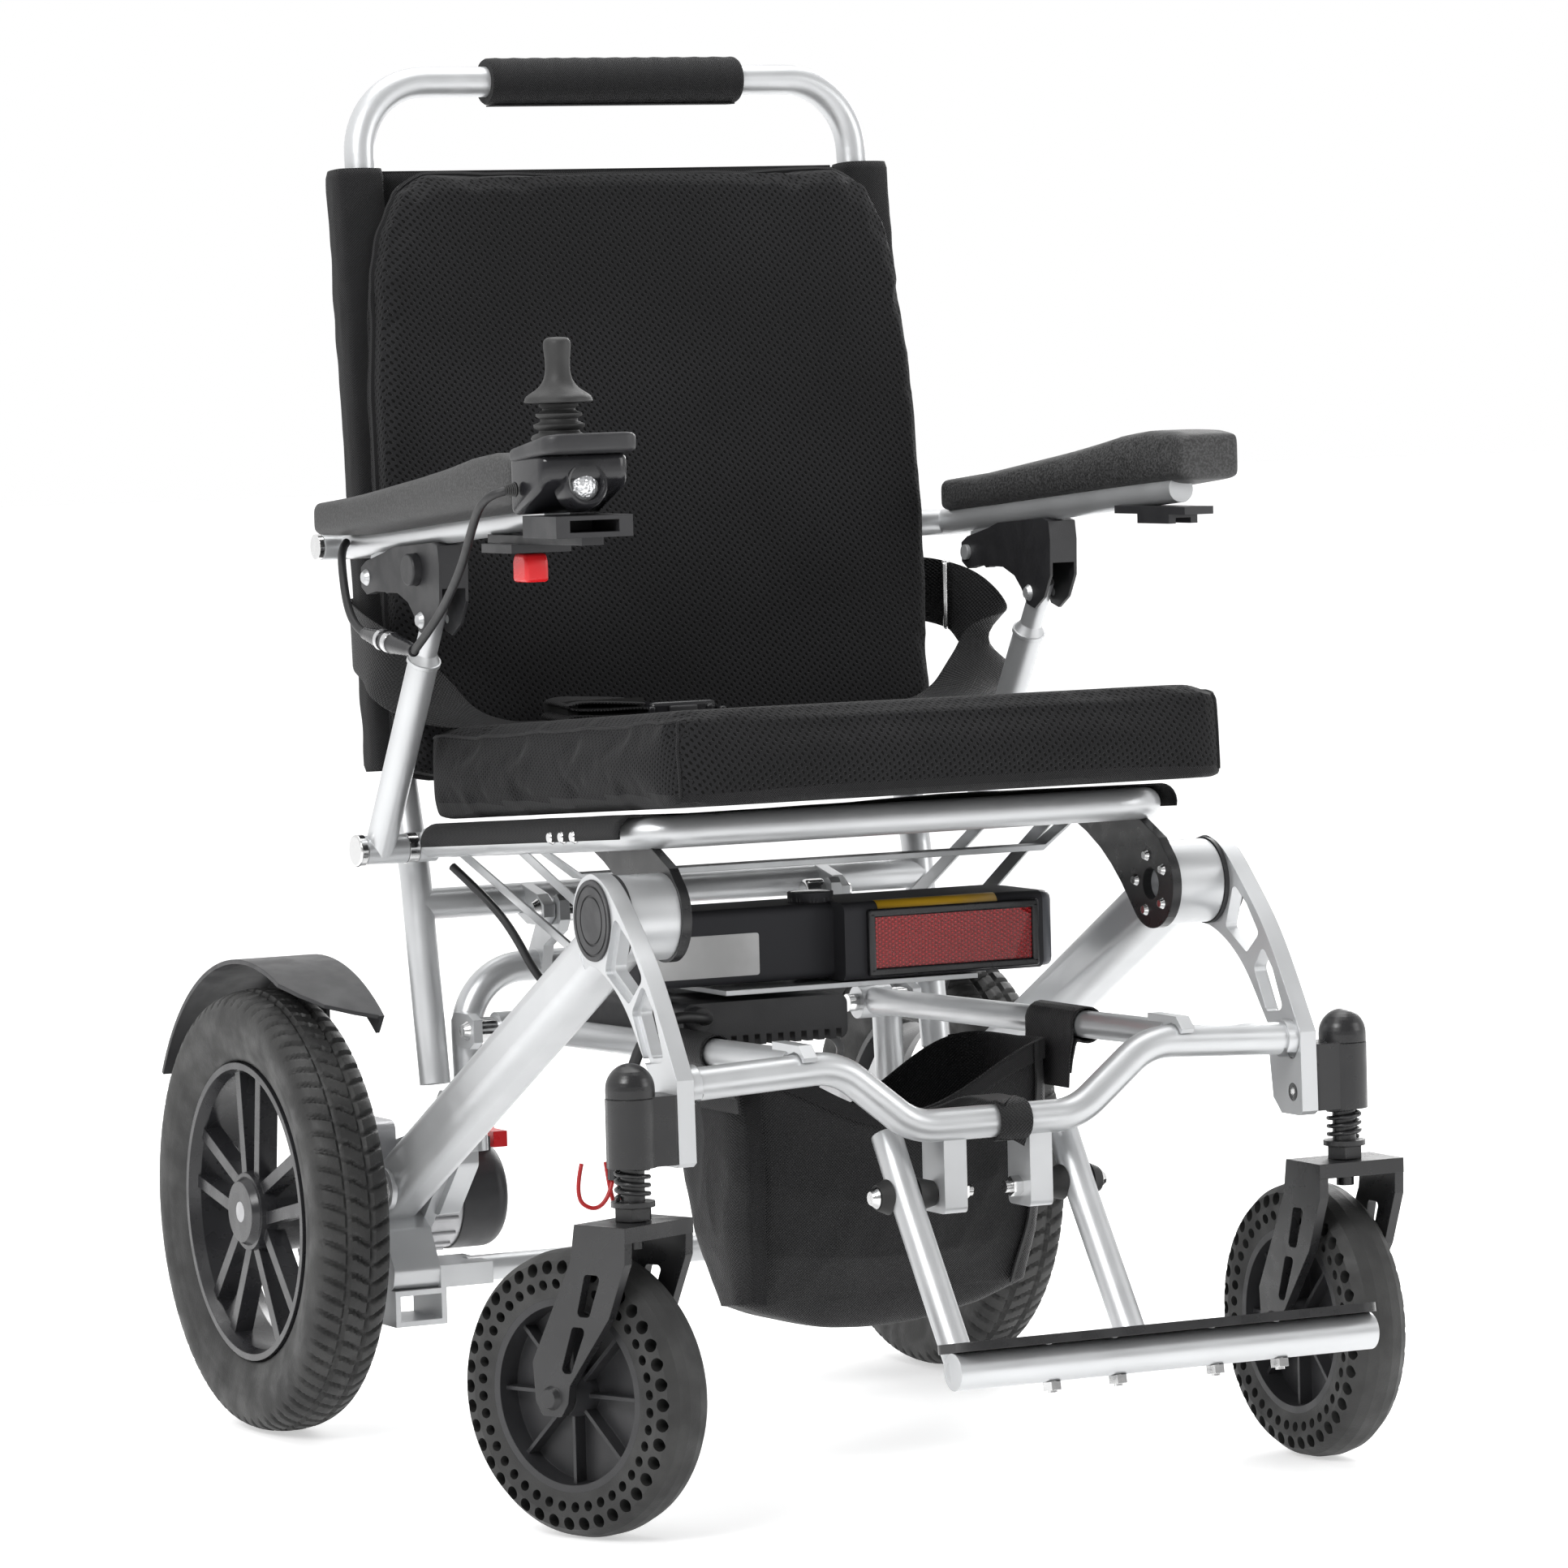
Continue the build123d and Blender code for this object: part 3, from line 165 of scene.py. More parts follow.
    def hexmesh(s, pitch, squeeze=1.0, tilt=0.25):
        u, v = s.faces_uv()
        k = 2 * math.pi / (pitch * math.sqrt(3) / 2)
        uu = s.ma("MULTIPLY", s.ma("ADD", u, s.ma("MULTIPLY", v, tilt)), k)
        vv = s.ma("MULTIPLY", v, k * squeeze)
        a = s.ma("COSINE", uu)
        h = s.ma("MULTIPLY", uu, -0.5)
        w = s.ma("MULTIPLY", vv, 0.8660254)
        b = s.ma("COSINE", s.ma("ADD", h, w))
        c = s.ma("COSINE", s.ma("SUBTRACT", h, w))
        return s.ma("ADD", s.ma("ADD", a, b), c)

    def weave(s, pitch):
        u, v = s.faces_uv()
        k = 2 * math.pi / pitch
        a = s.ma("SINE", s.ma("MULTIPLY", u, k))
        b = s.ma("SINE", s.ma("MULTIPLY", v, k))
        return s.ma("MULTIPLY", a, b)


MAT = {}


def silver(name, base, metal, lo, hi):
    n = Net(name, base, 0.35, metal).soft_edge(0.0008)
    n.b.inputs["Specular IOR Level"].default_value = 0.55
    f = n.noise(2600, 2)
    n.colour(n.mix(n.ramp(n.noise(9, 3), 0.35, 0.7), tuple(0.93 * c for c in base), base))
    n.rough(n.ramp(n.noise(35, 4), 0.3, 0.7, lo, hi))
    n.bump(f, 0.00006, 0.5)
    MAT[name] = n.m


silver("silver", (0.60, 0.61, 0.62), 0.62, 0.30, 0.40)
silver("cradle", (0.52, 0.53, 0.54), 0.75, 0.30, 0.42)


def plastic(name, base, lo, hi, grain=1400, depth=0.00012, edge=0.0009, coat=0.0):
    n = Net(name, base, 0.45)
    if edge:
        n.soft_edge(edge)
    n.b.inputs["Coat Weight"].default_value = coat
    n.colour(n.mix(n.ramp(n.noise(14, 4), 0.35, 0.7), tuple(0.8 * c for c in base),
        tuple(1.15 * c for c in base)))
    n.rough(n.ramp(n.noise(60, 3), 0.3, 0.7, lo, hi))
    n.bump(n.noise(grain, 2), depth, 0.7)
    MAT[name] = n.m
    return n


plastic("plastic", (0.022, 0.022, 0.024), 0.38, 0.52)
plastic("gloss", (0.014, 0.014, 0.016), 0.16, 0.28, depth=0.00003)
plastic("battery", (0.020, 0.022, 0.027), 0.30, 0.42, depth=0.00008)
plastic("grey_cap", (0.10, 0.105, 0.12), 0.35, 0.5)
plastic("red", (0.62, 0.012, 0.016), 0.22, 0.34, depth=0.00004)
plastic("blackmetal", (0.016, 0.016, 0.017), 0.24, 0.36, grain=2200, depth=0.00006)
plastic("alloy", (0.020, 0.020, 0.022), 0.22, 0.34, grain=2200, depth=0.00004)
plastic("cable", (0.016, 0.016, 0.017), 0.42, 0.55, edge=0)
plastic("rubber", (0.018, 0.018, 0.018), 0.5, 0.66, grain=900, depth=0.0002, edge=0)
plastic("wire_red", (0.45, 0.01, 0.012), 0.3, 0.42, edge=0)
plastic("label_pale", (0.55, 0.66, 0.74), 0.35, 0.5, depth=0.00002, edge=0)
plastic("label_silver", (0.50, 0.50, 0.50), 0.30, 0.45, depth=0.00002, edge=0)
plastic("label_yellow", (0.62, 0.36, 0.02), 0.3, 0.42, depth=0.00002, edge=0)

n = Net("tyre", (0.02, 0.02, 0.02), 0.62)
n.colour(n.mix(n.ramp(n.noise(22, 4), 0.3, 0.75), (0.013, 0.013, 0.013), (0.030, 0.030, 0.029)))
n.rough(n.ramp(n.noise(50, 3), 0.3, 0.7, 0.5, 0.72))
n.bump(n.noise(700, 3), 0.0003, 0.7)
MAT["tyre"] = n.m

n = Net("chrome", (0.72, 0.72, 0.72), 0.14, 1.0).soft_edge(0.0004)
n.rough(n.ramp(n.noise(120, 3), 0.3, 0.7, 0.10, 0.24))
n.bump(n.noise(1800, 2), 0.00004, 0.5)
MAT["chrome"] = n.m

n = Net("cast", (0.46, 0.46, 0.47), 0.42, 0.85).soft_edge(0.0008)
n.rough(n.ramp(n.noise(90, 4), 0.3, 0.7, 0.34, 0.55))
n.bump(n.noise(900, 4), 0.0003, 0.6)
MAT["cast"] = n.m

n = Net("machined", (0.62, 0.62, 0.63), 0.22, 1.0)
n.bump(n.noise(40, 2, stretch=(1, 30, 30)), 0.0001, 0.4)
MAT["machined"] = n.m

n = Net("lens", (0.75, 0.76, 0.78), 0.06, 0.6, Coat_Weight=1.0)
v = n.node("ShaderNodeTexVoronoi")
v.inputs["Scale"].default_value = 420
n.t.links.new(n.tc.outputs["Object"], v.inputs["Vector"])
n.bump(v.outputs["Distance"], 0.0012, 0.8)
MAT["lens"] = n.m

n = Net("reflector", (0.55, 0.006, 0.010), 0.12, 0.0, Coat_Weight=0.8)
h = n.hexmesh(0.0030, 1.0, 0.0)
n.colour(n.mix(n.ramp(h, -1.0, 2.4), (0.30, 0.002, 0.004), (0.85, 0.03, 0.04)))
n.bump(h, 0.0006, 0.9)
MAT["reflector"] = n.m


def airmesh(name, pitch, squeeze, tilt, thread, hole_painted_shade):
    n = Net(name, thread, 0.85, Sheen_Weight=0.06, Sheen_Roughness=0.4)
    n.b.inputs["Specular IOR Level"].default_value = 0.18
    h = n.hexmesh(pitch, squeeze, tilt)
    m = n.ramp(h, 0.2, 1.6)
    wear = n.ramp(n.noise(7, 4), 0.3, 0.75)
    th = n.mix(wear, tuple(0.8 * c for c in thread), tuple(1.2 * c for c in thread))
    # painted shade: inside the mesh holes (mask m) the thread colour gives way to a near-black colour
    n.colour(n.mix(m, th, (hole_painted_shade, hole_painted_shade, hole_painted_shade)))
    fine = n.noise(1500, 2, stretch=(1, 1, 0.4))
    n.bump(fine, 0.0003, 0.5)
    n.bump(n.ma("MULTIPLY", m, -1.0), 0.0014, 1.0)
    MAT[name] = n.m


# the last argument is the colour of the painted shade in the mesh holes
airmesh("mesh", 0.0040, 0.82, 0.35, (0.013, 0.013, 0.014), 0.0006)
airmesh("mesh_side", 0.0032, 0.9, 0.15, (0.012, 0.012, 0.013), 0.0012)


def cloth(name, base, pitch, depth, rough=0.8, sheen=0.25, wrinkle=0.0):
    n = Net(name, base, rough, Sheen_Weight=sheen, Sheen_Roughness=0.45)
    n.b.inputs["Specular IOR Level"].default_value = 0.3
    w = n.weave(pitch)
    n.colour(n.mix(n.ramp(w, -0.5, 0.9), tuple(0.55 * c for c in base), tuple(1.35 * c for c in base)))
    if wrinkle:
        n.bump(n.noise(16, 4, 0.6, 0.6), wrinkle, 0.8)
    n.bump(w, depth, 0.9)
    MAT[name] = n.m


cloth("woven", (0.010, 0.010, 0.011), 0.0018, 0.0004, 0.8, 0.05)
cloth("oxford", (0.011, 0.011, 0.012), 0.0022, 0.0004, 0.5, 0.06, 0.004)
cloth("webbing", (0.010, 0.010, 0.011), 0.0026, 0.0006, 0.6, 0.06)
cloth("binding", (0.008, 0.008, 0.009), 0.0016, 0.0003, 0.7, 0.05)

n = Net("pu", (0.030, 0.030, 0.031), 0.6)
g = n.noise(620, 3, 0.6)
n.colour(n.mix(n.ramp(g, 0.38, 0.66), (0.016, 0.016, 0.016), (0.062, 0.062, 0.063)))
n.rough(n.ramp(g, 0.3, 0.7, 0.50, 0.72))
n.bump(g, 0.0006, 0.9)
MAT["pu"] = n.m

n = Net("floor", (0.80, 0.80, 0.80), 0.6)
n.colour(n.mix(n.noise(0.7, 2), (0.79, 0.79, 0.79), (0.81, 0.81, 0.81)))
n.b.inputs["Emission Color"].default_value = (1, 1, 1, 1)
n.b.inputs["Emission Strength"].default_value = 0.50
MAT["floor"] = n.m


# ---------------------------------------------------------------- builders
def smooth(ob, angle=35):
    for p in ob.data.polygons:
        p.use_smooth = True
    if angle:
        ob.data.set_sharp_from_angle(angle=math.radians(angle))


def add(name, verts, faces, mat, body, rep=(), ang=35, slot=None):
    me = bpy.data.meshes.new(name)
    me.from_pydata([tuple(v) for v in verts], [], faces)
    me.validate()
    bm = bmesh.new()
    bm.from_mesh(me)
    bmesh.ops.recalc_face_normals(bm, faces=bm.faces)
    bm.to_mesh(me)
    bm.free()
    ob = bpy.data.objects.new(name, me)
    scene.collection.objects.link(ob)
    me.materials.append(MAT[mat])
    smooth(ob, ang)
    if rep:
        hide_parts(*rep)
    if body:
        ob["_body"] = body
    return ob


def done(ob):
    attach(ob, ob["_body"])
    del ob["_body"]
    return ob


def grid(name, nu, nv, fn, mat, body, wu=False, wv=False, **kw):
    vs = [fn(i / (nu if wu else nu - 1), j / (nv if wv else nv - 1)) for i in range(nu) for j in range(nv)]
    fs = []
    for i in range(nu if wu else nu - 1):
        for j in range(nv if wv else nv - 1):
            a, b = i, (i + 1) % nu
            c, d = j, (j + 1) % nv
            fs.append((a * nv + c, b * nv + c, b * nv + d, a * nv + d))
    return add(name, vs, fs, mat, body, **kw)


def lathe(name, prof, loc, n, mat, body, **kw):
    """prof: (radius, height) on local Z; loc: matrix to the row frame, mm inside."""
    ob = grid(name, n, len(prof), lambda u, v: loc @ Vector((
              prof[round(v * (len(prof) - 1))][0] * math.cos(2 * math.pi * u),
              prof[round(v * (len(prof) - 1))][0] * math.sin(2 * math.pi * u),
              prof[round(v * (len(prof) - 1))][1])),
              mat, body, wu=True, **kw)
    return ob


def at(x, y, z, axis=(0, 0, 1)):
    q = Vector((0, 0, 1)).rotation_difference(Vector(axis))
    return Matrix.Translation(D(x, y, z)) @ q.to_matrix().to_4x4() @ Matrix.Scale(0.001, 4)


def prism(name, pts, lo, hi, plane, mat, body, bevel=0.0, segs=3, **kw):
    """Closed outline extruded along X, Y or Z (mm)."""
    put = {"x": lambda p, t: D(t, p[0], p[1]), "y": lambda p, t: D(p[0], t, p[1]),
           "z": lambda p, t: D(p[0], p[1], t)}[plane]
    k = len(pts)
    vs = [put(p, lo) for p in pts] + [put(p, hi) for p in pts]
    fs = [tuple(range(k)), tuple(range(k, 2 * k))] + [(i, (i + 1) % k, k + (i + 1) % k,
        k + i) for i in range(k)]
    ob = add(name, vs, fs, mat, body, **kw)
    if bevel:
        m = ob.modifiers.new("b", "BEVEL")
        m.width, m.segments, m.limit_method, m.angle_limit = bevel / 1000, segs, "ANGLE", math.radians(28)
        m.harden_normals = False
    return ob


def rrect(x0, x1, y0, y1, r, n=6):
    out = []
    for cx, cy, a in ((x1 - r, y1 - r, 0), (x0 + r, y1 - r, 90), (x0 + r, y0 + r, 180),
        (x1 - r, y0 + r, 270)):
        for k in range(n + 1):
            t = math.radians(a + 90 * k / n)
            out.append((cx + r * math.cos(t), cy + r * math.sin(t)))
    return out


def spline(pts, n):
    """Catmull-Rom through 3-D points, n samples per span."""
    P = [Vector(p) for p in pts]
    P = [P[0] * 2 - P[1]] + P + [P[-1] * 2 - P[-2]]
    out = []
    for i in range(1, len(P) - 2):
        for k in range(n):
            t = k / n
            a, b, c, d = P[i - 1], P[i], P[i + 1], P[i + 2]
            out.append(0.5 * ((2 * b) + (c - a) * t + (2 * a - 5 * b + 4 * c - d) * t * t
                              + (3 * b - a - 3 * c + d) * t ** 3))
    out.append(P[-2])
    return out


def ribbon(name, pts, wide, width, thick, mat, body, n=10, **kw):
    """Flat strap: pts (mm) along its middle, wide: its width direction at each point."""
    c = spline(pts, n)
    w = spline(wide, n)
    vs, fs = [], []
    for i, p in enumerate(c):
        t = (c[min(i + 1, len(c) - 1)] - c[max(i - 1, 0)]).normalized()
        a = (w[i] - t * w[i].dot(t)).normalized()
        b = t.cross(a)
        for s, h in ((-0.5, -0.3), (-0.47, -0.5), (0, -0.56), (0.47, -0.5), (0.5, -0.3), (0.5, 0.3),
            (0.47, 0.5), (0, 0.44), (-0.47, 0.5), (-0.5, 0.3)):
            q = p + a * (s * width) + b * (h * thick)
            vs.append(D(*q))
    m = 10
    for i in range(len(c) - 1):
        for j in range(m):
            fs.append((i * m + j, i * m + (j + 1) % m, (i + 1) * m + (j + 1) % m, (i + 1) * m + j))
    fs += [tuple(range(m)), tuple(range((len(c) - 1) * m, len(c) * m))]
    return add(name, vs, fs, mat, body, **kw)


def wire(name, pts, r, mat, body, rep=(), closed=False):
    """A cable on a NURBS spline through the route's points (mm)."""
    cu = bpy.data.curves.new(name, "CURVE")
    cu.dimensions = "3D"
    sp = cu.splines.new("NURBS")
    sp.points.add(len(pts) - 1)
    for q, p in zip(sp.points, pts):
        q.co = (*D(*p), 1)
    sp.order_u = 3
    sp.use_endpoint_u = not closed
    sp.use_cyclic_u = closed
    sp.resolution_u = 10
    cu.bevel_depth = r / 1000
    cu.bevel_resolution = 4
    cu.use_fill_caps = True
    ob = bpy.data.objects.new(name, cu)
    scene.collection.objects.link(ob)
    cu.materials.append(MAT[mat])
    if rep:
        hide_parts(*rep)
    ob["_body"] = body
    return ob


def seam(name, pts, r, mat, body, closed=False, target=None, lift=0.0):
    """Piping or stitching: a thin tube whose points are pulled on to a surface."""
    P = spline(pts, 8) if not closed else spline(pts + [pts[0]], 8)[:-1]
    Q = []
    for p in P:
        q = D(*p)
        if target:
            hit, nn, _, _ = target.find_nearest(q)
            q = hit + nn * (lift / 1000)
        Q.append(q)
    k, m = len(Q), 6
    vs, fs = [], []
    for i in range(k):
        t = ((Q[(i + 1) % k] - Q[i - 1]).normalized() if closed
             else (Q[min(i + 1, k - 1)] - Q[max(i - 1, 0)]).normalized())
        a = t.orthogonal().normalized()
        b = t.cross(a)
        for j in range(m):
            g = 2 * math.pi * j / m
            vs.append(Q[i] + (a * math.cos(g) + b * math.sin(g)) * (r / 1000))
    for i in range(k if closed else k - 1):
        for j in range(m):
            fs.append((i * m + j, i * m + (j + 1) % m, ((i + 1) % k) * m + (j + 1) % m,
                ((i + 1) % k) * m + j))
    # frames may twist between rings, since each ring's frame is taken from its own tangent alone
    return add(name, vs, fs, mat, body)


def bvh(ob):
    return BVHTree.FromObject(ob, bpy.context.evaluated_depsgraph_get())


def puff(ob, voxel, pressure, cap, frames=14, sub=1):
    me = ob.data
    me.remesh_voxel_size = voxel
    bpy.context.view_layer.objects.active = ob
    ob.select_set(True)
    bpy.ops.object.voxel_remesh()
    ob.select_set(False)
    rest = [v.co.copy() for v in ob.data.vertices]
    m = ob.modifiers.new("cloth", "CLOTH")
    st = m.settings
    st.quality = 4
    st.mass = 0.3
    st.tension_stiffness = st.compression_stiffness = 12
    st.shear_stiffness = 6
    st.bending_stiffness = 1.5
    st.use_pressure = True
    st.uniform_pressure_force = pressure
    st.effector_weights.gravity = 0
    m.point_cache.frame_start, m.point_cache.frame_end = 1, frames
    for f in range(1, frames + 1):
        scene.frame_set(f)
    ev = ob.evaluated_get(bpy.context.evaluated_depsgraph_get())
    got = [v.co.copy() for v in ev.data.vertices]
    ob.modifiers.remove(m)
    scene.frame_set(1)
    for v, a, b in zip(ob.data.vertices, rest, got):
        d = b - a
        if d.length > cap:
            d *= cap / d.length
        v.co = a + d
    for p in ob.data.polygons:
        p.use_smooth = True
    if sub:
        s = ob.modifiers.new("s", "SUBSURF")
        s.levels = s.render_levels = sub
    return ob


# ---------------------------------------------------------------- CAD nodes that stay
KEEP = {
    "silver": "rear_frame seat_frame side_tubes front_bar footrest_frame back_frame back_struts "
              "arm_tube_left arm_tube_right arc_brackets",
    "cradle": "battery_cradle", "cast": "motors",
    "blackmetal": "flange_plates caster_housings caster_fork_left caster_fork_right foot_plate "
                  "caster_spring_left caster_spring_right caster_stem_left caster_stem_right",
    "alloy": "rear_rim_left rear_rim_right",
    "chrome": "frame_screws foot_plate_bolts front_fasteners back_bolts",
    "plastic": "controller_box motor_caps fenders hub_caps arm_bracket_left arm_bracket_right "
               "arm_button_left arm_button_right caster_hub_left caster_hub_right",
    "red": "clutch_lever_left clutch_lever_right", "tyre": "caster_tyre_left caster_tyre_right",
    "rubber": "footrest_rubbers", "reflector": "battery_reflector",
}
for key, names in KEEP.items():
    for nm in names.split():
        o = NODE[nm]
        o.data.materials.clear()
        o.data.materials.append(MAT[key])
        smooth(o, 32)


# ---------------------------------------------------------------- cords
def cable(name, route, r, mat, body, rep=()):
    ob = wire(name, route, r, mat, body, rep=rep)
    done(ob)
    tuple(D(*route[0]))
    return ob


def boot(name, p, q, r0, r1, mat, body, rings=0):
    """Tapered strain relief from p (radius r0) to q (radius r1)."""
    p, q = Vector(p), Vector(q)
    L = (q - p).length
    prof = [(0.05, 0), (r0 - 0.6, 0), (r0, 0.8)]
    for k in range(1, 13):
        f = k / 13
        prof.append((r0 + (r1 - r0) * f - (0.5 if rings and k % 2 else 0), L * f))
    prof += [(r1, L - 0.3), (0.05, L)]
    return done(lathe(name, prof, at(*p, axis=(q - p)), 28, mat, body, slot="black_plastic"))


CONTROL_ROUTE = [(-281, -470, 684), (-294, -469, 683), (-297, -448, 675), (-290, -418, 657),
    (-283, -384, 630), (-278, -345, 605),
                 (-275, -312, 587), (-275, -285, 572)]
RAIL_ROUTE = [(-275, -203, 582), (-275, -188, 585), (-273, -168, 600), (-268, -150, 624),
    (-262, -136, 639), (-252, -122, 643)]
conn = [boot("lead_connector_socket", (-275, -250, 576.3), (-275, -285, 572), 7.5, 4.2, "gloss",
    "armrest_right", 1),
        boot("lead_connector_plug", (-275, -238, 577.7), (-275, -203, 582), 7.5, 4.2, "gloss",
        "armrest_right", 1),
        boot("lead_connector_ring_a", (-275, -250.5, 576.2), (-275, -243.5, 577.1), 7.6, 7.6,
        "machined", "armrest_right"),
        boot("lead_connector_ring_b", (-275, -243.0, 577.1), (-275, -237.5, 577.8), 6.9, 6.9, "gloss",
        "armrest_right"),
        boot("lead_connector_ring_c", (-275, -237.6, 577.8), (-275, -232.0, 578.5), 7.7, 7.7,
        "machined", "armrest_right")]
grom = boot("lead_grommet", (-280.8, -470, 684), (-289, -469.6, 683.6), 5.2, 3.3, "rubber",
    "armrest_right", 1)
cable("control_lead_front", CONTROL_ROUTE, 3.0, "cable", "armrest_right",
    rep=["control_lead"])
cable("control_lead_rail", RAIL_ROUTE, 3.0, "cable", "armrest_right")
BUNDLE = [(-121, -404.2, 317), (-121, -422, 319), (-160, -428, 324), (-186, -424, 300), (-194, -416, 240)]
REAR_LEAD = [(-190, -150, 412), (-180, -170, 396), (-168, -196, 372), (-150, -206, 330),
    (-124, -206, 312), (-124, -224, 312)]
plug = [boot("bundle_boot", (-194.2, -415.6, 240), (-192.8, -417.4, 264), 6.4, 4.4, "rubber", "chassis", 1),
        boot("bundle_plug", (-194.2, -415.6, 240), (-195, -414, 214), 6.5, 5.6, "gloss", "chassis")]
cable("bundle_lead", BUNDLE, 4.0, "cable", "chassis", rep=["wiring_loom"])
cable("seat_rear_lead", REAR_LEAD, 3.0, "cable", "chassis")
for sx, sd in ((1, "left"), (-1, "right")):
    cable("motor_lead_" + sd, [(sx * 66 - 60, -231.8, 304), (sx * 72 - 50, -190, 300),
        (sx * 128, -150, 268), (sx * 130, -76, 226),
                               (sx * 130, -30, 196), (sx * 130, -24, 176)], 3.0, "cable", "chassis")
for k, dx in enumerate((-5, 4)):
    cable(f"bundle_red_lead_{k}", [(-195 + dx * 0.5, -414, 214), (-197 + dx, -417, 202),
        (-203 + 2 * dx, -415, 194), (-209 + 3 * dx, -409, 204),
                                   (-207 + 2 * dx, -407, 226)], 1.5, "wire_red", "chassis")


# ---------------------------------------------------------------- tilt of the seat and of the back
SEAT_A = -math.atan2(22.5, 332)
BACK_A = -math.atan2(41, 449)


def CU(x, y, z):
    y, z = y + 150, z - 430
    c, s = math.cos(SEAT_A), math.sin(SEAT_A)
    return (x, -150 + y * c - z * s, 430 + y * s + z * c)


def BK(x, y, z):
    c, s = math.cos(BACK_A), math.sin(BACK_A)
    return (x, -80 + y * c - z * s, 512 + y * s + z * c)


def warp(ob, fn):
    for v in ob.data.vertices:
        x, y, z = v.co.x * 1000 - SX, v.co.y * 1000 - SY, v.co.z * 1000
        v.co = D(*fn(x, y, z))


def lin(xs, ys, x):
    for a, b, p, q in zip(xs, xs[1:], ys, ys[1:]):
        if (a - x) * (b - x) <= 0:
            return p + (q - p) * (x - a) / (b - a)
    return ys[0] if abs(x - xs[0]) < abs(x - xs[-1]) else ys[-1]


def wob(x, y, z, s, k=0):
    return noise.noise(Vector((x * s + 7.3 * k, y * s + 1.7 * k, z * s)))


# ---------------------------------------------------------------- seat cushion
cush = prism("seat_cushion_foam", rrect(-213, 213, -562, -152, 26), 447, 504, "z", "mesh", "chassis",
    rep=["seat_cushion"])
warp(cush, CU)
puff(cush, 0.0055, 4.0, 0.006)
ci, si = math.cos(-SEAT_A), math.sin(-SEAT_A)
for v in cush.data.vertices:
    x, y, z = v.co.x * 1000 - SX, v.co.y * 1000 - SY, v.co.z * 1000
    y0, z0 = y + 150, z - 430
    yl, zl = -150 + y0 * ci - z0 * si, 430 + y0 * si + z0 * ci
    zl = max(zl, 445.6)
    x = max(-218.5, min(218.5, x))
    yl = max(-569, min(-147.5, yl))
    v.co = D(*CU(x, yl, zl))
for k in ("mesh_side", "woven"):
    cush.data.materials.append(MAT[k])
for p in cush.data.polygons:
    c = p.center
    y0, z0 = c.y * 1000 - SY + 150, c.z * 1000 - 430
    zl = 430 + y0 * si + z0 * ci
    p.material_index = 2 if zl < 455 else (1 if abs(p.normal.x) > 0.66 else 0)
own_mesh(cush)
done(cush)
cb = bvh(cush)
for sx, sd in ((1, "left"), (-1, "right")):
    pts = [CU(sx * 214, -561, z) for z in (450, 470, 490, 503)] + [
        CU(sx * 211, y, 508) for y in (-552, -500, -430, -360, -290, -220, -165)]
    s = seam("cushion_seam_" + sd, pts, 1.3, "binding", "chassis", target=cb, lift=0.2)
    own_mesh(s)
    done(s)

# sling laced over the seat tube's two sides, hollow under the cushion
R_S = 11.9


def sling(u, v):
    y = -474 + 322 * v
    zt = 430 + (-150 - y) * 22.5 / 332
    w = 202.0
    s = (u - 0.5) * 2
    if abs(s) > 0.86:
        a = math.radians(90 - 105 * (abs(s) - 0.86) / 0.14)
        return D(math.copysign(w + R_S * math.cos(a), s), y, zt + R_S * math.sin(a))
    t = s / 0.86
    return D(w * t, y, zt + R_S - 3.2 * (1 - t * t) + 0.5 * wob(w * t, y, 0, 0.02))


sl = grid("seat_sling_cloth", 90, 30, sling, "woven", "chassis", rep=["seat_sling"], slot="webbing")
m = sl.modifiers.new("s", "SOLIDIFY")
m.thickness, m.offset = 0.0012, 1
done(sl)

# ---------------------------------------------------------------- back rest
half = [(0, -44), (190, -44), (211, -40), (216, -10), (220, 60), (222, 140), (220, 240), (213, 310),
    (203, 350), (188, 378), (165, 391), (0, 393)]
out = half + [(-x, z) for x, z in half[-2:0:-1]]
pad = prism("backrest_pad", out, -44, -17, "y", "mesh", "back", rep=["backrest"])
warp(pad, BK)
puff(pad, 0.0055, 4.0, 0.007)
for v in pad.data.vertices:
    x, y, z = v.co.x * 1000 - SX, v.co.y * 1000 - SY, v.co.z * 1000
    y += 80; z -= 512
    c, s = math.cos(-BACK_A), math.sin(-BACK_A)
    yl, zl = y * c - z * s, y * s + z * c
    x = max(-229, min(229, x))
    yl = min(yl, -13.0)
    v.co = D(*BK(x, yl, zl))
done(pad)
pb = bvh(pad)
edge = [BK(x * 0.985, -42 + 14 * min(1, 0), z) for x, z in out]
rim = seam("backrest_piping", [BK(x, -30, z) for x, z in out], 2.4, "binding", "back", closed=True,
    target=pb, lift=0.6)
done(rim)
for sx, sd in ((1, "left"), (-1, "right")):
    def wrap(u, v):
        a = 2 * math.pi * u
        z = -34 + 430 * v
        rx, ry = 20.5, 16.5
        ca, sa = math.cos(a), math.sin(a)
        k = 1 / max(abs(ca), abs(sa)) ** 0.35
        fold = 0.7 * wob(ca * 30, sa * 30, z, 0.05, sx) * 1.4
        inset = 1.2 if v in (0, 1) else 0
        x = sx * 204.0 + (rx + fold - inset) * ca * k
        y = -1.0 + (ry + fold - inset) * sa * k
        return D(*BK(max(-224, min(224, x)), max(-20, min(16, y)), z))
    w = grid("backrest_wrap_" + sd, 44, 90, wrap, "woven", "back", wu=True, slot="mesh_fabric", ang=60)
    m = w.modifiers.new("s", "SOLIDIFY")
    m.thickness, m.offset = 0.0016, -1
    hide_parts("backrest")
    done(w)


def rear_panel(u, v):
    x = -186 + 372 * u
    z = -32 + 426 * v
    y = 4 + 3.5 * math.sin(math.pi * u) * math.sin(math.pi * v) + 0.8 * wob(x, 0, z, 0.012)
    return D(*BK(x, y, z))


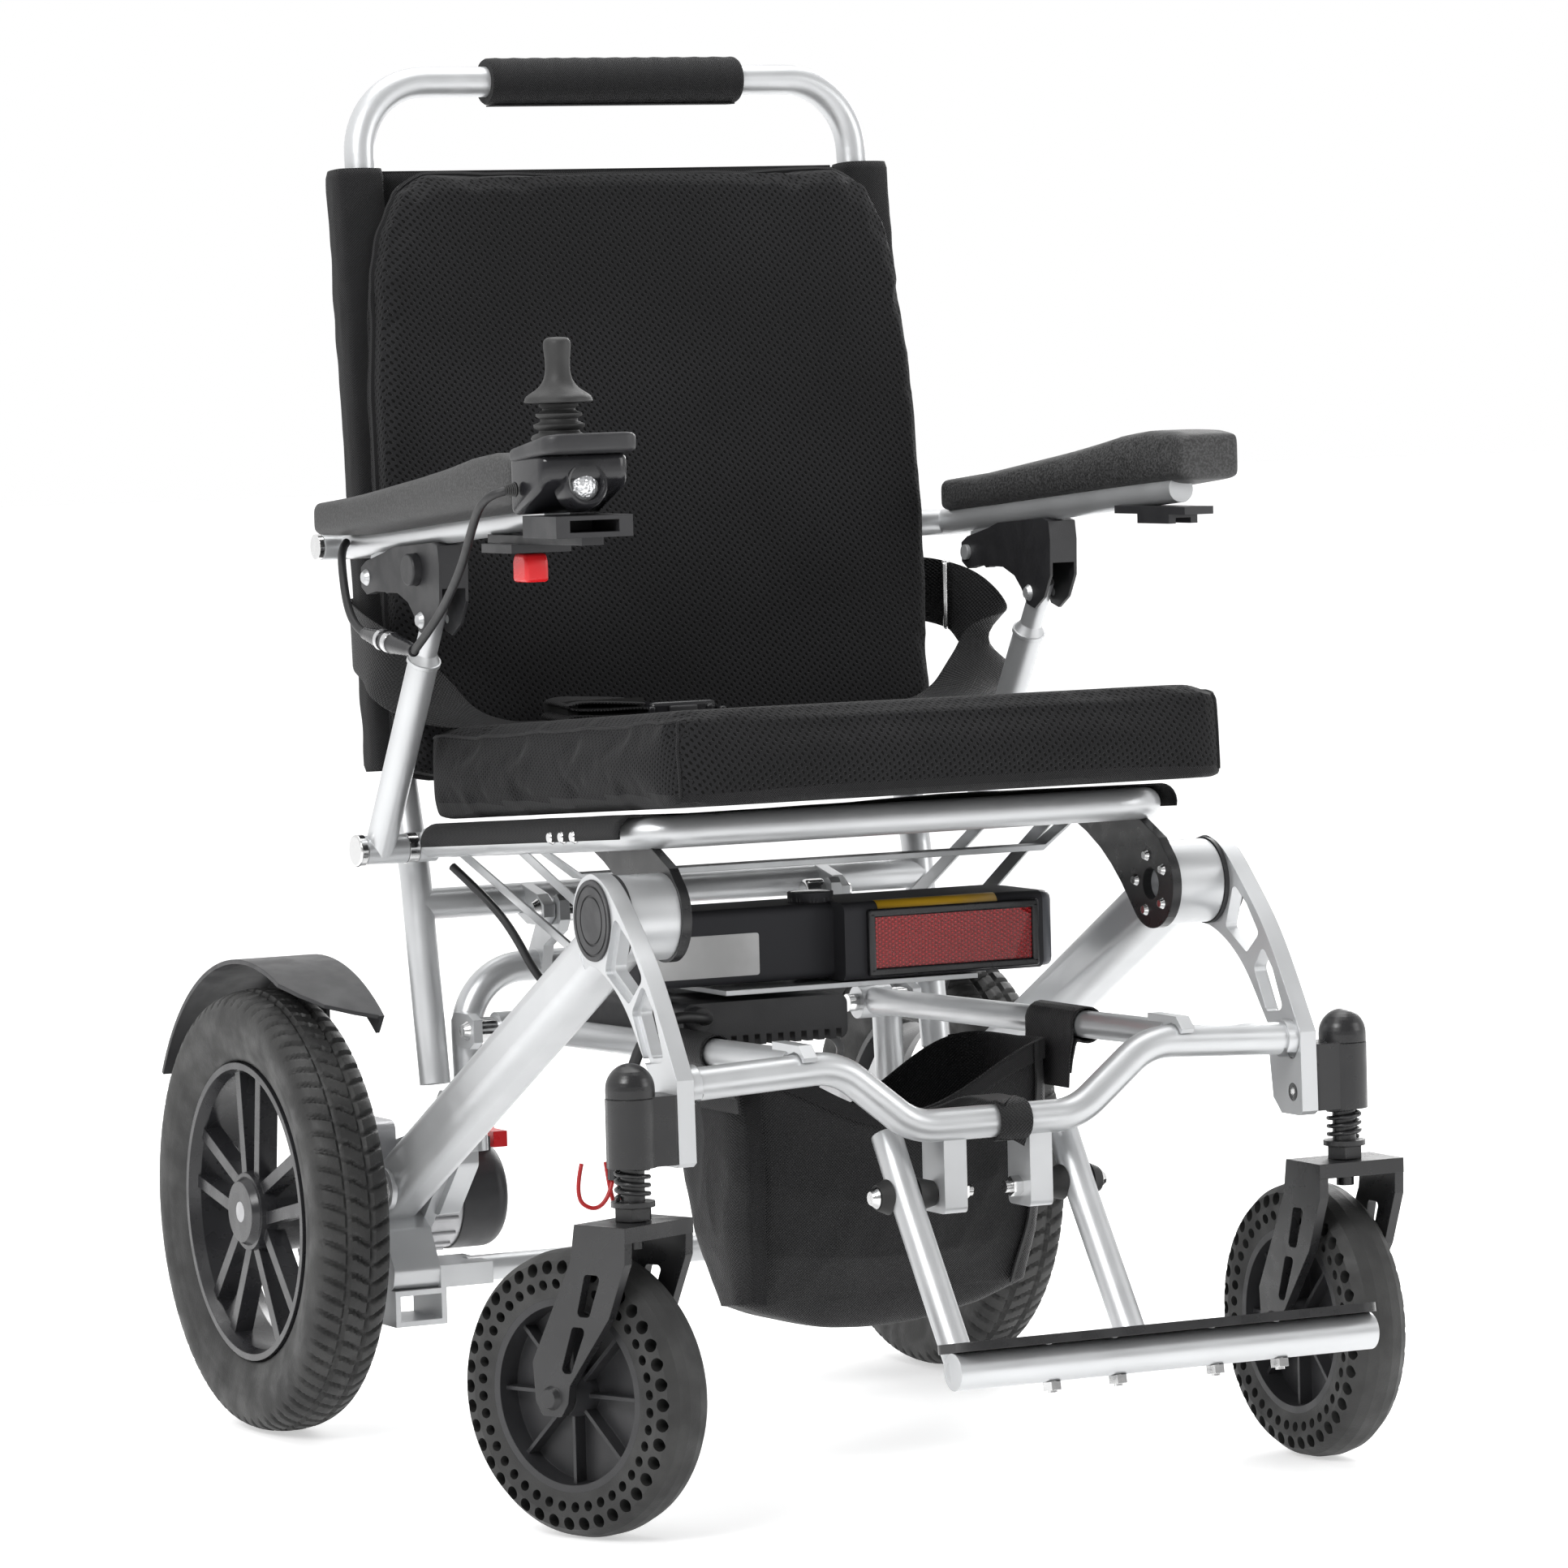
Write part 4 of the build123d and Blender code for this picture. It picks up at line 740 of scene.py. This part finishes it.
rp = grid("backrest_rear_panel", 60, 60, rear_panel, "woven", "back", slot="mesh_fabric")
m = rp.modifiers.new("s", "SOLIDIFY")
m.thickness, m.offset = 0.002, 0
done(rp)
for zz, nmz in ((-26, "low"), (388, "high")):
    b = ribbon("rear_hem_" + nmz, [BK(x, 9.2 - 2.0 * (abs(x) / 186) ** 2, zz) for x in (-184, -90, 0, 90, 184)],
            [Vector((0, 0.09, 1))] * 5, 16, 1.2,
               "binding", "back", n=8, slot="webbing")
    done(b)

# ---------------------------------------------------------------- armrest pads
top_l = [(-112, 673), (-167, 676), (-231, 684), (-304, 693), (-376, 705), (-416, 709.0), (-455, 708.5),
    (-470, 707)]
for sd, sx, ye in (("left", 1, -471.0), ("right", -1, -450.0)):
    top = [p for p in top_l if p[0] > ye + 4] + [(ye, 706)]
    bot = [(ye, 673.0), (-440, 671.5), (-360, 666), (-272, 659.5), (-190, 653), (-112, 648)]
    pts = [(y, z - 1.6) for y, z in top] + [(y, z + 0.6) for y, z in bot]
    ap = prism("arm_pad_" + sd + "_soft", pts, *sorted((sx * 228, sx * 274)), "x", "pu",
        "armrest_" + sd, rep=["arm_pad_" + sd], bevel=5, segs=3)
    bpy.context.view_layer.objects.active = ap
    ap.select_set(True)
    bpy.ops.object.modifier_apply(modifier="b")
    ap.select_set(False)
    puff(ap, 0.004, 3.0, 0.0028, frames=8)
    done(ap)


# ---------------------------------------------------------------- storage bag
def bag_ring(u, t, grow=0.0):
    """Point on the bag's wall: u once round, t from rim (0) to floor edge (1)."""
    a = 2 * math.pi * u
    ca, sa = math.cos(a), math.sin(a)
    k = (abs(ca) ** 5 + abs(sa) ** 5) ** -0.2
    cx, cy = ca * k, sa * k
    yf = lin([0, 0.5, 0.8, 1], [-463, -461, -450, -434], t)
    yr = lin([0, 0.5, 0.8, 1], [-330, -344, -366, -392], t)
    w = lin([0, 0.2, 0.7, 1], [126, 127.5, 123, 113], t)
    x = cx * w
    y = (yf + yr) / 2 + cy * (yr - yf) / 2
    zt = 289 + 4 * (cy < 0) * abs(cy)
    if cy < -0.5:
        zt -= 43 * math.cos(math.pi * x / 256) ** 2 * min(1, (-cy - 0.5) * 2)
    if cy > 0.5:
        zt -= 52 * math.cos(math.pi * x / 256) ** 2 * min(1, (cy - 0.5) * 2)
    zb = lin([-434, -392], [124, 118], y)
    z = zt + (zb - zt) * t
    # creases run down and inwards from where the cloth hangs
    f = 1 - abs(2 * t - 1) ** 3
    crease = (5.0 * abs(wob(x + 0.6 * z, y * 0.9, 0.35 * z, 0.017, 2))
              + 3.0 * abs(wob(x - 0.5 * z, y, 0.2 * z, 0.035, 5)))
    pull = (-crease * f
            - 3.5 * math.sin(math.pi * t) * (abs(cx) < 0.9) * (cy < 0) * math.cos(math.pi * cx / 2))
    nx, ny = cx * abs(cx) ** 3, cy * abs(cy) ** 3
    q = math.hypot(nx, ny)
    x += (pull + grow) * nx / q
    y += (pull + grow) * ny / q
    return x, y, z


def bag(u, v):
    if v <= 0.72:
        return D(*bag_ring(u, v / 0.72))
    s = (v - 0.72) / 0.28
    x, y, z = bag_ring(u, 1)
    k = 1 - s
    yc, zc = -414, 98
    sag = 2.5 * wob(x * k, (y - yc) * k, 0, 0.03, 9) * k
    return D(x * k, yc + (y - yc) * k, zc + (z - zc) * k * k - sag)


def bag_squash(ob):
    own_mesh(ob)


bg = grid("storage_bag_cloth", 260, 90, bag, "oxford", "chassis", wu=True, rep=["storage_bag"],
    slot="mesh_fabric", ang=60)
m = bg.modifiers.new("s", "SOLIDIFY")
m.thickness, m.offset = 0.0014, -1
bag_squash(bg)
done(bg)
hem = grid("storage_bag_rim", 260, 6, lambda u, v: D(*bag_ring(u, 0.085 * v, 0.9)), "binding",
    "chassis", wu=True, slot="webbing", ang=60)
m = hem.modifiers.new("s", "SOLIDIFY")
m.thickness, m.offset = 0.0014, 0
bag_squash(hem)
done(hem)
for cn, u in (("front_right", 0.625), ("front_left", 0.875), ("rear_right", 0.375), ("rear_left", 0.125)):
    pts = [bag_ring(u, t / 12, 1.0) for t in range(13)]
    out = Vector((-1 if "right" in cn else 1, 1 if "front" in cn else -1, 0))
    bd = ribbon("bag_corner_" + cn, pts, [out] * 13, 13, 1.4, "binding", "chassis", n=4, slot="webbing")
    bag_squash(bd)
    done(bd)
TUBE_Z = 295 + 8 / 435 * 299
for sx, sd in ((1, "left"), (-1, "right")):
    def sleeve(u, v):
        y = -468 + 66 * v
        prof = [(126.8, 258), (127.6, 270), (128.8, 281), (130.9, 291)]
        prof += [(143 + 12.3 * math.cos(math.radians(a)),
            TUBE_Z + 12.3 * math.sin(math.radians(a))) for a in range(190, -150, -20)]
        prof += [(133.0, 288.0), (130.4, 277), (129.0, 268)]
        k = u * (len(prof) - 1)
        i = min(int(k), len(prof) - 2)
        f = k - i
        x = prof[i][0] + (prof[i + 1][0] - prof[i][0]) * f + 0.5 * wob(prof[i][0], y, prof[i][1], 0.06)
        z = prof[i][1] + (prof[i + 1][1] - prof[i][1]) * f
        return D(sx * x, y, z)
    sv = grid("bag_sleeve_" + sd, 76, 30, sleeve, "oxford", "chassis", slot="mesh_fabric", ang=60)
    m = sv.modifiers.new("s", "SOLIDIFY")
    m.thickness, m.offset = 0.0012, 0
    bag_squash(sv)
    done(sv)

# webbing loop that hangs the bag from the front bar
path = [(30, -461, 250), (25, -492, 256), (16, -545, 267)]
path += [(10, -593 + 13 * math.cos(math.radians(a)),
    255.5 + 13 * math.sin(math.radians(a))) for a in range(75, 300, 25)]
path += [(16, -545, 244), (25, -494, 240), (30, -463, 238)]
lp = ribbon("bag_front_loop", path, [Vector((1, 0, 0))] * len(path), 24, 1.6, "webbing", "chassis", n=4,
    slot="webbing")
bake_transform(lp)
del lp["_body"]

# ---------------------------------------------------------------- lap belt
SIDE, FLAT = Vector((0, 0.09, 1)), Vector((0, 1, 0.07))


def belt(name, pts, wide, blend_to=None, width=47, squash=True):
    b = ribbon(name, pts, wide, width, 1.5, "webbing", "chassis", n=10, slot="webbing", ang=50)
    if blend_to:
        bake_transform(b)
        del b["_body"]
    else:
        if squash:
            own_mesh(b)
        done(b)
    return b


belt("lap_belt_right_side",
     [(-190, -60, 577), (-203, -52, 578), (-220, -57, 577), (-229.5, -80, 573), (-231, -112, 563),
     (-222, -138, 547), (-203, -158, 529),
      (-178, -172, 516), (-150, -181, 511.5), (-118, -186, 510.5)],
     [SIDE, SIDE, SIDE, SIDE, SIDE, Vector((0.25, 0.25, 1)), Vector((0.35, 0.6, 0.7)),
     Vector((0.15, 0.9, 0.3)), FLAT, FLAT],
     ((-160, -176, 513), (-226, -120, 560)))
belt("lap_belt_left_side",
     [(190, -60, 590), (203, -52, 591), (221, -58, 591), (240, -76, 589), (256, -97, 580),
     (262, -116, 562), (255, -132, 544), (238, -146, 529),
      (216, -160, 518), (188, -172, 513), (150, -181, 511), (110, -186, 510.2), (64, -187, 510.2),
      (-2, -187, 510.2)],
     [SIDE] * 4 + [Vector((0.1, 0.1, 1)), Vector((0.3, 0.2, 1)), Vector((-0.2, 0.5, 0.8)),
     Vector((-0.2, 0.7, 0.6)), Vector((-0.1, 0.9, 0.3))] + [FLAT] * 5,
     ((196, -170, 514), (246, -138, 536)), )
fold = [(-30, -187, 511.5), (-70, -187, 511.4), (-104, -187, 511.6), (-124, -187, 513.6),
    (-118, -187, 517.6), (-92, -187, 516.8), (-66, -187, 516.4),
        (-58, -187, 519.0), (-66, -187, 521.6), (-94, -187, 521.4), (-116, -187, 522.4),
        (-122, -187, 525.0), (-110, -187, 527.2), (-84, -187, 526.0),
        (-62, -187, 524.4)]
belt("lap_belt_tail", fold, [FLAT] * len(fold), width=40)
bk = prism("belt_buckle", rrect(-58, -4, -206, -168, 7), 511.2, 523.0, "z", "gloss", "chassis",
    bevel=3.2, segs=3, slot="black_plastic")
warp(bk, lambda x, y, z: (x, y, z - 0.0 + (-187 - y) * 0.067))
done(bk)
for k, (x0, x1) in enumerate(((-60, -54), (-14, -8), (-4, 2))):
    q = prism(f"belt_buckle_bar_{k}", rrect(x0, x1, -208, -166, 2.4), 510.6, 521.0 - 2 * (k == 2), "z",
        "gloss", "chassis", bevel=1.6, slot="black_plastic")
    done(q)
for k, y in enumerate((-207.6, -166.4)):
    q = prism(f"belt_buckle_button_{k}", rrect(-44, -22, y - 2.2, y + 2.2, 1.8), 513, 521, "z",
        "plastic", "chassis", bevel=1.2, slot="black_plastic")
    done(q)
sl_ = prism("belt_slider", rrect(-26, 26, -9, 9, 3.5), -1.8, 1.8, "x", "chrome", "back", bevel=1.0)
mv = Matrix.Translation(D(246, -88, 586)) @ Matrix.Rotation(math.radians(-38), 4, "Z") @ Matrix.Rotation(
    math.radians(90), 4, "X") @ Matrix.Translation(-D(0, 0, 0))
sl_.data.transform(mv)
done(sl_)

# ---------------------------------------------------------------- push bar sleeve
pr = [(11.2, -96), (15.8, -96), (16.8, -94.5)] + [(17.0 + 0.25 * math.sin(k * 1.9),
    -92 + 184 / 40 * k * 1.06) for k in range(1, 41)] + [(16.8, 104.5), (15.8, 106), (11.2, 106)]
hs = lathe("push_bar_sleeve", pr, at(0, -38.5, 969, (1, 0, 0)), 40, "woven", "back", rep=["handle_sleeve"])
done(hs)
hk = ribbon("push_bar_flap", [(x, -38.5, 951.7) for x in (-92, -40, 0, 50, 102)],
    [Vector((0, 1, 0))] * 5, 15, 1.0, "binding", "back", n=6, slot="webbing")
done(hk)

# ---------------------------------------------------------------- rear tyres
PROF = [(112, -12), (108.5, -18.6), (113, -22), (126, -26), (138, -28), (147, -27.4), (154, -23.6),
    (158.3, -15), (160, -5),
        (160, 5), (158.3, 15), (154, 23.6), (147, 27.4), (138, 28), (126, 26), (113, 22), (108.5, 18.6),
        (112, 12)]
rows = [(p[0], 0.0, p[1]) for p in PROF]
fine = spline(rows, 6)
BLOCKS = 74


def notch(s, w):
    """1 inside a groove of half width w, with sloping sides."""
    return max(0.0, min(1.0, (w - abs(s)) / 0.7 + 0.5))


def tread(th, w):
    """Depth of the tread pattern at angle th and offset w across the tyre."""
    a = abs(w)
    ring_gap = notch(a - 9.5, 1.3)
    pitch = 2 * math.pi * 160 / BLOCKS
    arc = th * 160
    if a < 9.5:
        s = (arc + 3.5 * math.sin(w / 9.5 * 1.6)) % pitch - pitch / 2
        bar = notch(s, 1.5)
    elif a < 27:
        s = (arc + pitch / 2 + (a - 9.5) * 0.45) % pitch - pitch / 2
        bar = notch(s, 1.7)
    else:
        bar = 0
    fade = 1 if a < 24 else max(0.0, (27.4 - a) / 3.4)
    return 2.6 * max(ring_gap, bar * fade)


for sx, sd in ((1, "left"), (-1, "right")):
    def tyre(u, v):
        th = 2 * math.pi * u
        p = fine[min(round(v * (len(fine) - 1)), len(fine) - 1)]
        r, w = p.x, p.z
        d = tread(th, w) if r > 143 else 0.0
        if 118 < r < 136:
            d = -0.5 * notch(r - 131, 0.8) - 0.4 * notch(r - 121, 0.5)
        r -= d * (0.94 if r > 143 else 0.3)
        w -= math.copysign(d * (0.35 if r > 143 else 0.9), w)
        return D(sx * (273 + w), r * math.cos(th), 160 + r * math.sin(th))
    ty = grid("rear_tyre_tread_" + sd, 740, len(fine), tyre, "tyre",
        "drive_wheel_" + sd, wu=True, wv=True,
              rep=["rear_tyre_" + sd], ang=40)
    done(ty)

# ---------------------------------------------------------------- hand control, boot and knob
def plate(name, outline, zb, zt, edge, mat, body, **kw):
    """A slab whose top and bottom heights may slope, with rounded edges."""
    cx = sum(p[0] for p in outline) / len(outline)
    cy = sum(p[1] for p in outline) / len(outline)
    k = len(outline)
    rings = []
    steps = [90, 60, 30, 0]
    for a in steps:
        c, s = math.cos(math.radians(a)), math.sin(math.radians(a))
        rings.append((edge * (1 - c), lambda x, y, s=s: zb(x, y) + edge * (1 - s)))
    for a in reversed(steps):
        c, s = math.cos(math.radians(a)), math.sin(math.radians(a))
        rings.append((edge * (1 - c), lambda x, y, s=s: zt(x, y) - edge * (1 - s)))
    vs = []
    for inset, z in rings:
        for x, y in outline:
            d = math.hypot(x - cx, y - cy)
            x2, y2 = x - (x - cx) / d * inset, y - (y - cy) / d * inset
            vs.append(D(x2, y2, z(x2, y2)))
    fs = [tuple(range(k))]
    for r in range(len(rings) - 1):
        fs += [(r * k + i, r * k + (i + 1) % k, (r + 1) * k + (i + 1) % k,
            (r + 1) * k + i) for i in range(k)]
    fs.append(tuple(range((len(rings) - 1) * k, len(rings) * k)))
    return add(name, vs, fs, mat, body, **kw)


lip = plate("control_top", rrect(-280.6, -212.4, -520.6, -452, 11), lambda x, y: 702.5 + (-466 - y) * 0.10,
            lambda x, y: 711.5 + (-466 - y) * 0.17, 3.2, "plastic", "armrest_right",
            rep=["hand_control"], slot="black_plastic")
done(lip)
body = plate("control_body", rrect(-278.6, -214.4, -507, -452.5, 8),
             lambda x, y: 667 + max(0, -479 - y) * 0.85, lambda x, y: 706 + 0 * y, 4.0,
             "gloss", "armrest_right", slot="black_plastic")
done(body)
ax = Vector((0, -1, 0.2)).normalized()
lamp = at(-247, -492, 684, ax)
bez = lathe("control_lamp_bezel", [(0.1, 0), (16.5, 0), (16.8, 3), (16.2, 12), (15.2, 16), (13.8, 17.6),
    (12.2, 17.2), (11.4, 15), (11.2, 11), (0.1, 11)],
            lamp, 48, "gloss", "armrest_right", slot="black_plastic")
done(bez)
lens = lathe("control_lamp_lens", [(0.05, 16.6), (3, 16.3), (6, 15.2), (8.6, 13.4), (10.4, 11.6),
    (11.0, 10.6)], lamp, 40, "lens", "armrest_right")
done(lens)
kx, ky = -257, -489
bellows = lathe("stick_bellows", [(0.5, 706.6), (14, 706.8), (14.4, 712), (18.4, 715.2), (18.9, 717.2),
    (17.8, 719.2), (13.8, 720.9), (13.4, 722.3), (16.8, 724.2),
             (17.0, 726.2), (12.6, 728.2), (12.3, 729.8), (15.4, 731.6), (15.4, 733.4), (11.2, 735.2),
             (11.0, 736.6), (13.2, 738.2), (12.8, 739.8), (8, 740.2)],
             at(kx, ky, 0), 56, "rubber", "stick_gimbal", rep=["stick_boot"], ang=60)
done(bellows)
kp = spline([(r, 0, z) for r, z in [(6.2, 740.4), (21.2, 740.5), (22.4, 742.4), (20.6, 745.4),
    (13.4, 750.4), (9.2, 757), (8.2, 766), (9.1, 777), (8.7, 781), (6.2, 783.2),
             (0.05, 783.6)]], 4)
knob = lathe("stick_grip", [(max(0.05, p.x), p.z) for p in kp], at(kx, ky, 0), 56, "rubber", "stick",
    rep=["stick_knob"], ang=60)
done(knob)
tab = prism("clamp_tab_red", [(-413, 620), (-391, 620), (-391, 634), (-394, 639.4), (-410, 639.4),
    (-413, 634)], -248.6, -231.4, "x", "red", "clamp_tab",
            bevel=2.4, rep=["clamp_lever"])
done(tab)

# ---------------------------------------------------------------- battery trim and labels
def curved_label(name, mat, x0, x1, yc, zc, r, a0, a1):
    def f(u, v):
        a = math.radians(a0 + (a1 - a0) * v)
        return D(x0 + (x1 - x0) * u, yc - r * math.cos(a), zc + r * math.sin(a))
    ob = grid(name, 2, 12, f, mat, "battery")
    m = ob.modifiers.new("s", "SOLIDIFY")
    m.thickness, m.offset = 0.0003, 1
    return done(ob)


curved_label("battery_top_label", "label_yellow", 18, 112, -392, 382.5, 7.1, 8, 88)
lb = prism("battery_side_label", rrect(-150, -66, 343, 372, 2), -382.5, -381.9, "y", "label_silver",
    "battery")
done(lb)
for k, (x0, x1, z0, z1) in enumerate(((9, 143, 378.6, 384.4), (9, 143, 337.8, 343.4),
    (9, 14.4, 340, 382), (137.6, 143, 340, 382))):
    b = prism(f"reflector_bezel_{k}", rrect(x0, x1, z0, z1, 2.2), -403.2, -397.5, "y", "gloss",
        "battery", bevel=1.4, slot="black_plastic")
    done(b)
cap = plate("battery_end_cap", rrect(143.5, 157.6, -398, -318, 6.8), lambda x, y: 336.5,
            lambda x, y: 388.5, 6.0, "grey_cap", "battery", slot="black_plastic")
done(cap)
kn = lathe("battery_lock_knob", [(0.1, 396.3), (13.5, 396.2), (15.4, 395), (16, 392), (16, 388.6),
    (0.1, 388.6)], at(-14, -360, 0), 40, "gloss", "battery", slot="black_plastic")
done(kn)

# ---------------------------------------------------------------- camera, light and floor
CAM_PLACE = (-2273.06, -4758.13, 781.16)
CAM_AZ, CAM_EL, CAM_ROLL = -27.0, 3.59, -1.5
CAM_LENS, CAM_SENSOR = 164.37, 36
cam = bpy.data.cameras.new("camera")
cam.sensor_width = CAM_SENSOR
cam.lens = CAM_LENS
cam.clip_end = 100
co = bpy.data.objects.new("camera", cam)
scene.collection.objects.link(co)
az, el, roll = (math.radians(a) for a in (CAM_AZ, CAM_EL, CAM_ROLL))
right = Vector((math.cos(az), math.sin(az), 0))
back = Vector((math.sin(az) * math.cos(el), -math.cos(az) * math.cos(el), math.sin(el)))
up = back.cross(right)
r2 = right * math.cos(roll) + up * math.sin(roll)
u2 = up * math.cos(roll) - right * math.sin(roll)
co.matrix_world = Matrix.Translation(D(*CAM_PLACE)) @ Matrix((r2, u2, back)).transposed().to_4x4()
scene.camera = co

wd = bpy.data.worlds.new("studio")
wd.use_nodes = True
scene.world = wd
wt = wd.node_tree
bgd = wt.nodes["Background"]
tc = wt.nodes.new("ShaderNodeTexCoord")
sp = wt.nodes.new("ShaderNodeSeparateXYZ")
mr = wt.nodes.new("ShaderNodeMapRange")
mr.interpolation_type = "SMOOTHSTEP"
mr.inputs["From Min"].default_value, mr.inputs["From Max"].default_value = -0.5, 0.25
mr.inputs["To Min"].default_value, mr.inputs["To Max"].default_value = 0.42, 1.0
wt.links.new(tc.outputs["Generated"], sp.inputs[0])
wt.links.new(sp.outputs[1], mr.inputs["Value"])
wt.links.new(mr.outputs["Result"], bgd.inputs["Strength"])
bgd.inputs["Color"].default_value = (1, 1, 1, 1)


def area(name, place, aim, w, h, power):
    li = bpy.data.lights.new(name, "AREA")
    li.shape, li.size, li.size_y, li.energy = "RECTANGLE", w, h, power
    ob = bpy.data.objects.new(name, li)
    scene.collection.objects.link(ob)
    ob.location = place
    ob.rotation_euler = (Vector(aim) - Vector(place)).to_track_quat("-Z", "Y").to_euler()


area("key", (-2.6, -1.6, 2.6), (0, 0, 0.45), 1.4, 1.4, 70)
area("fill", (2.8, -2.2, 1.5), (0, 0, 0.45), 1.6, 1.6, 30)
area("top", (0.2, 0.4, 3.2), (0, 0, 0.4), 2.6, 2.6, 60)
area("rim", (2.4, 2.2, 1.8), (0, 0, 0.5), 1.0, 1.6, 40)

fl = add("floor", [(-30, -30, 0), (30, -30, 0), (30, 30, 0), (-30, 30, 0)], [(0, 1, 2, 3)], "floor", None)
scene.view_settings.view_transform = "Standard"
scene.view_settings.look = "None"
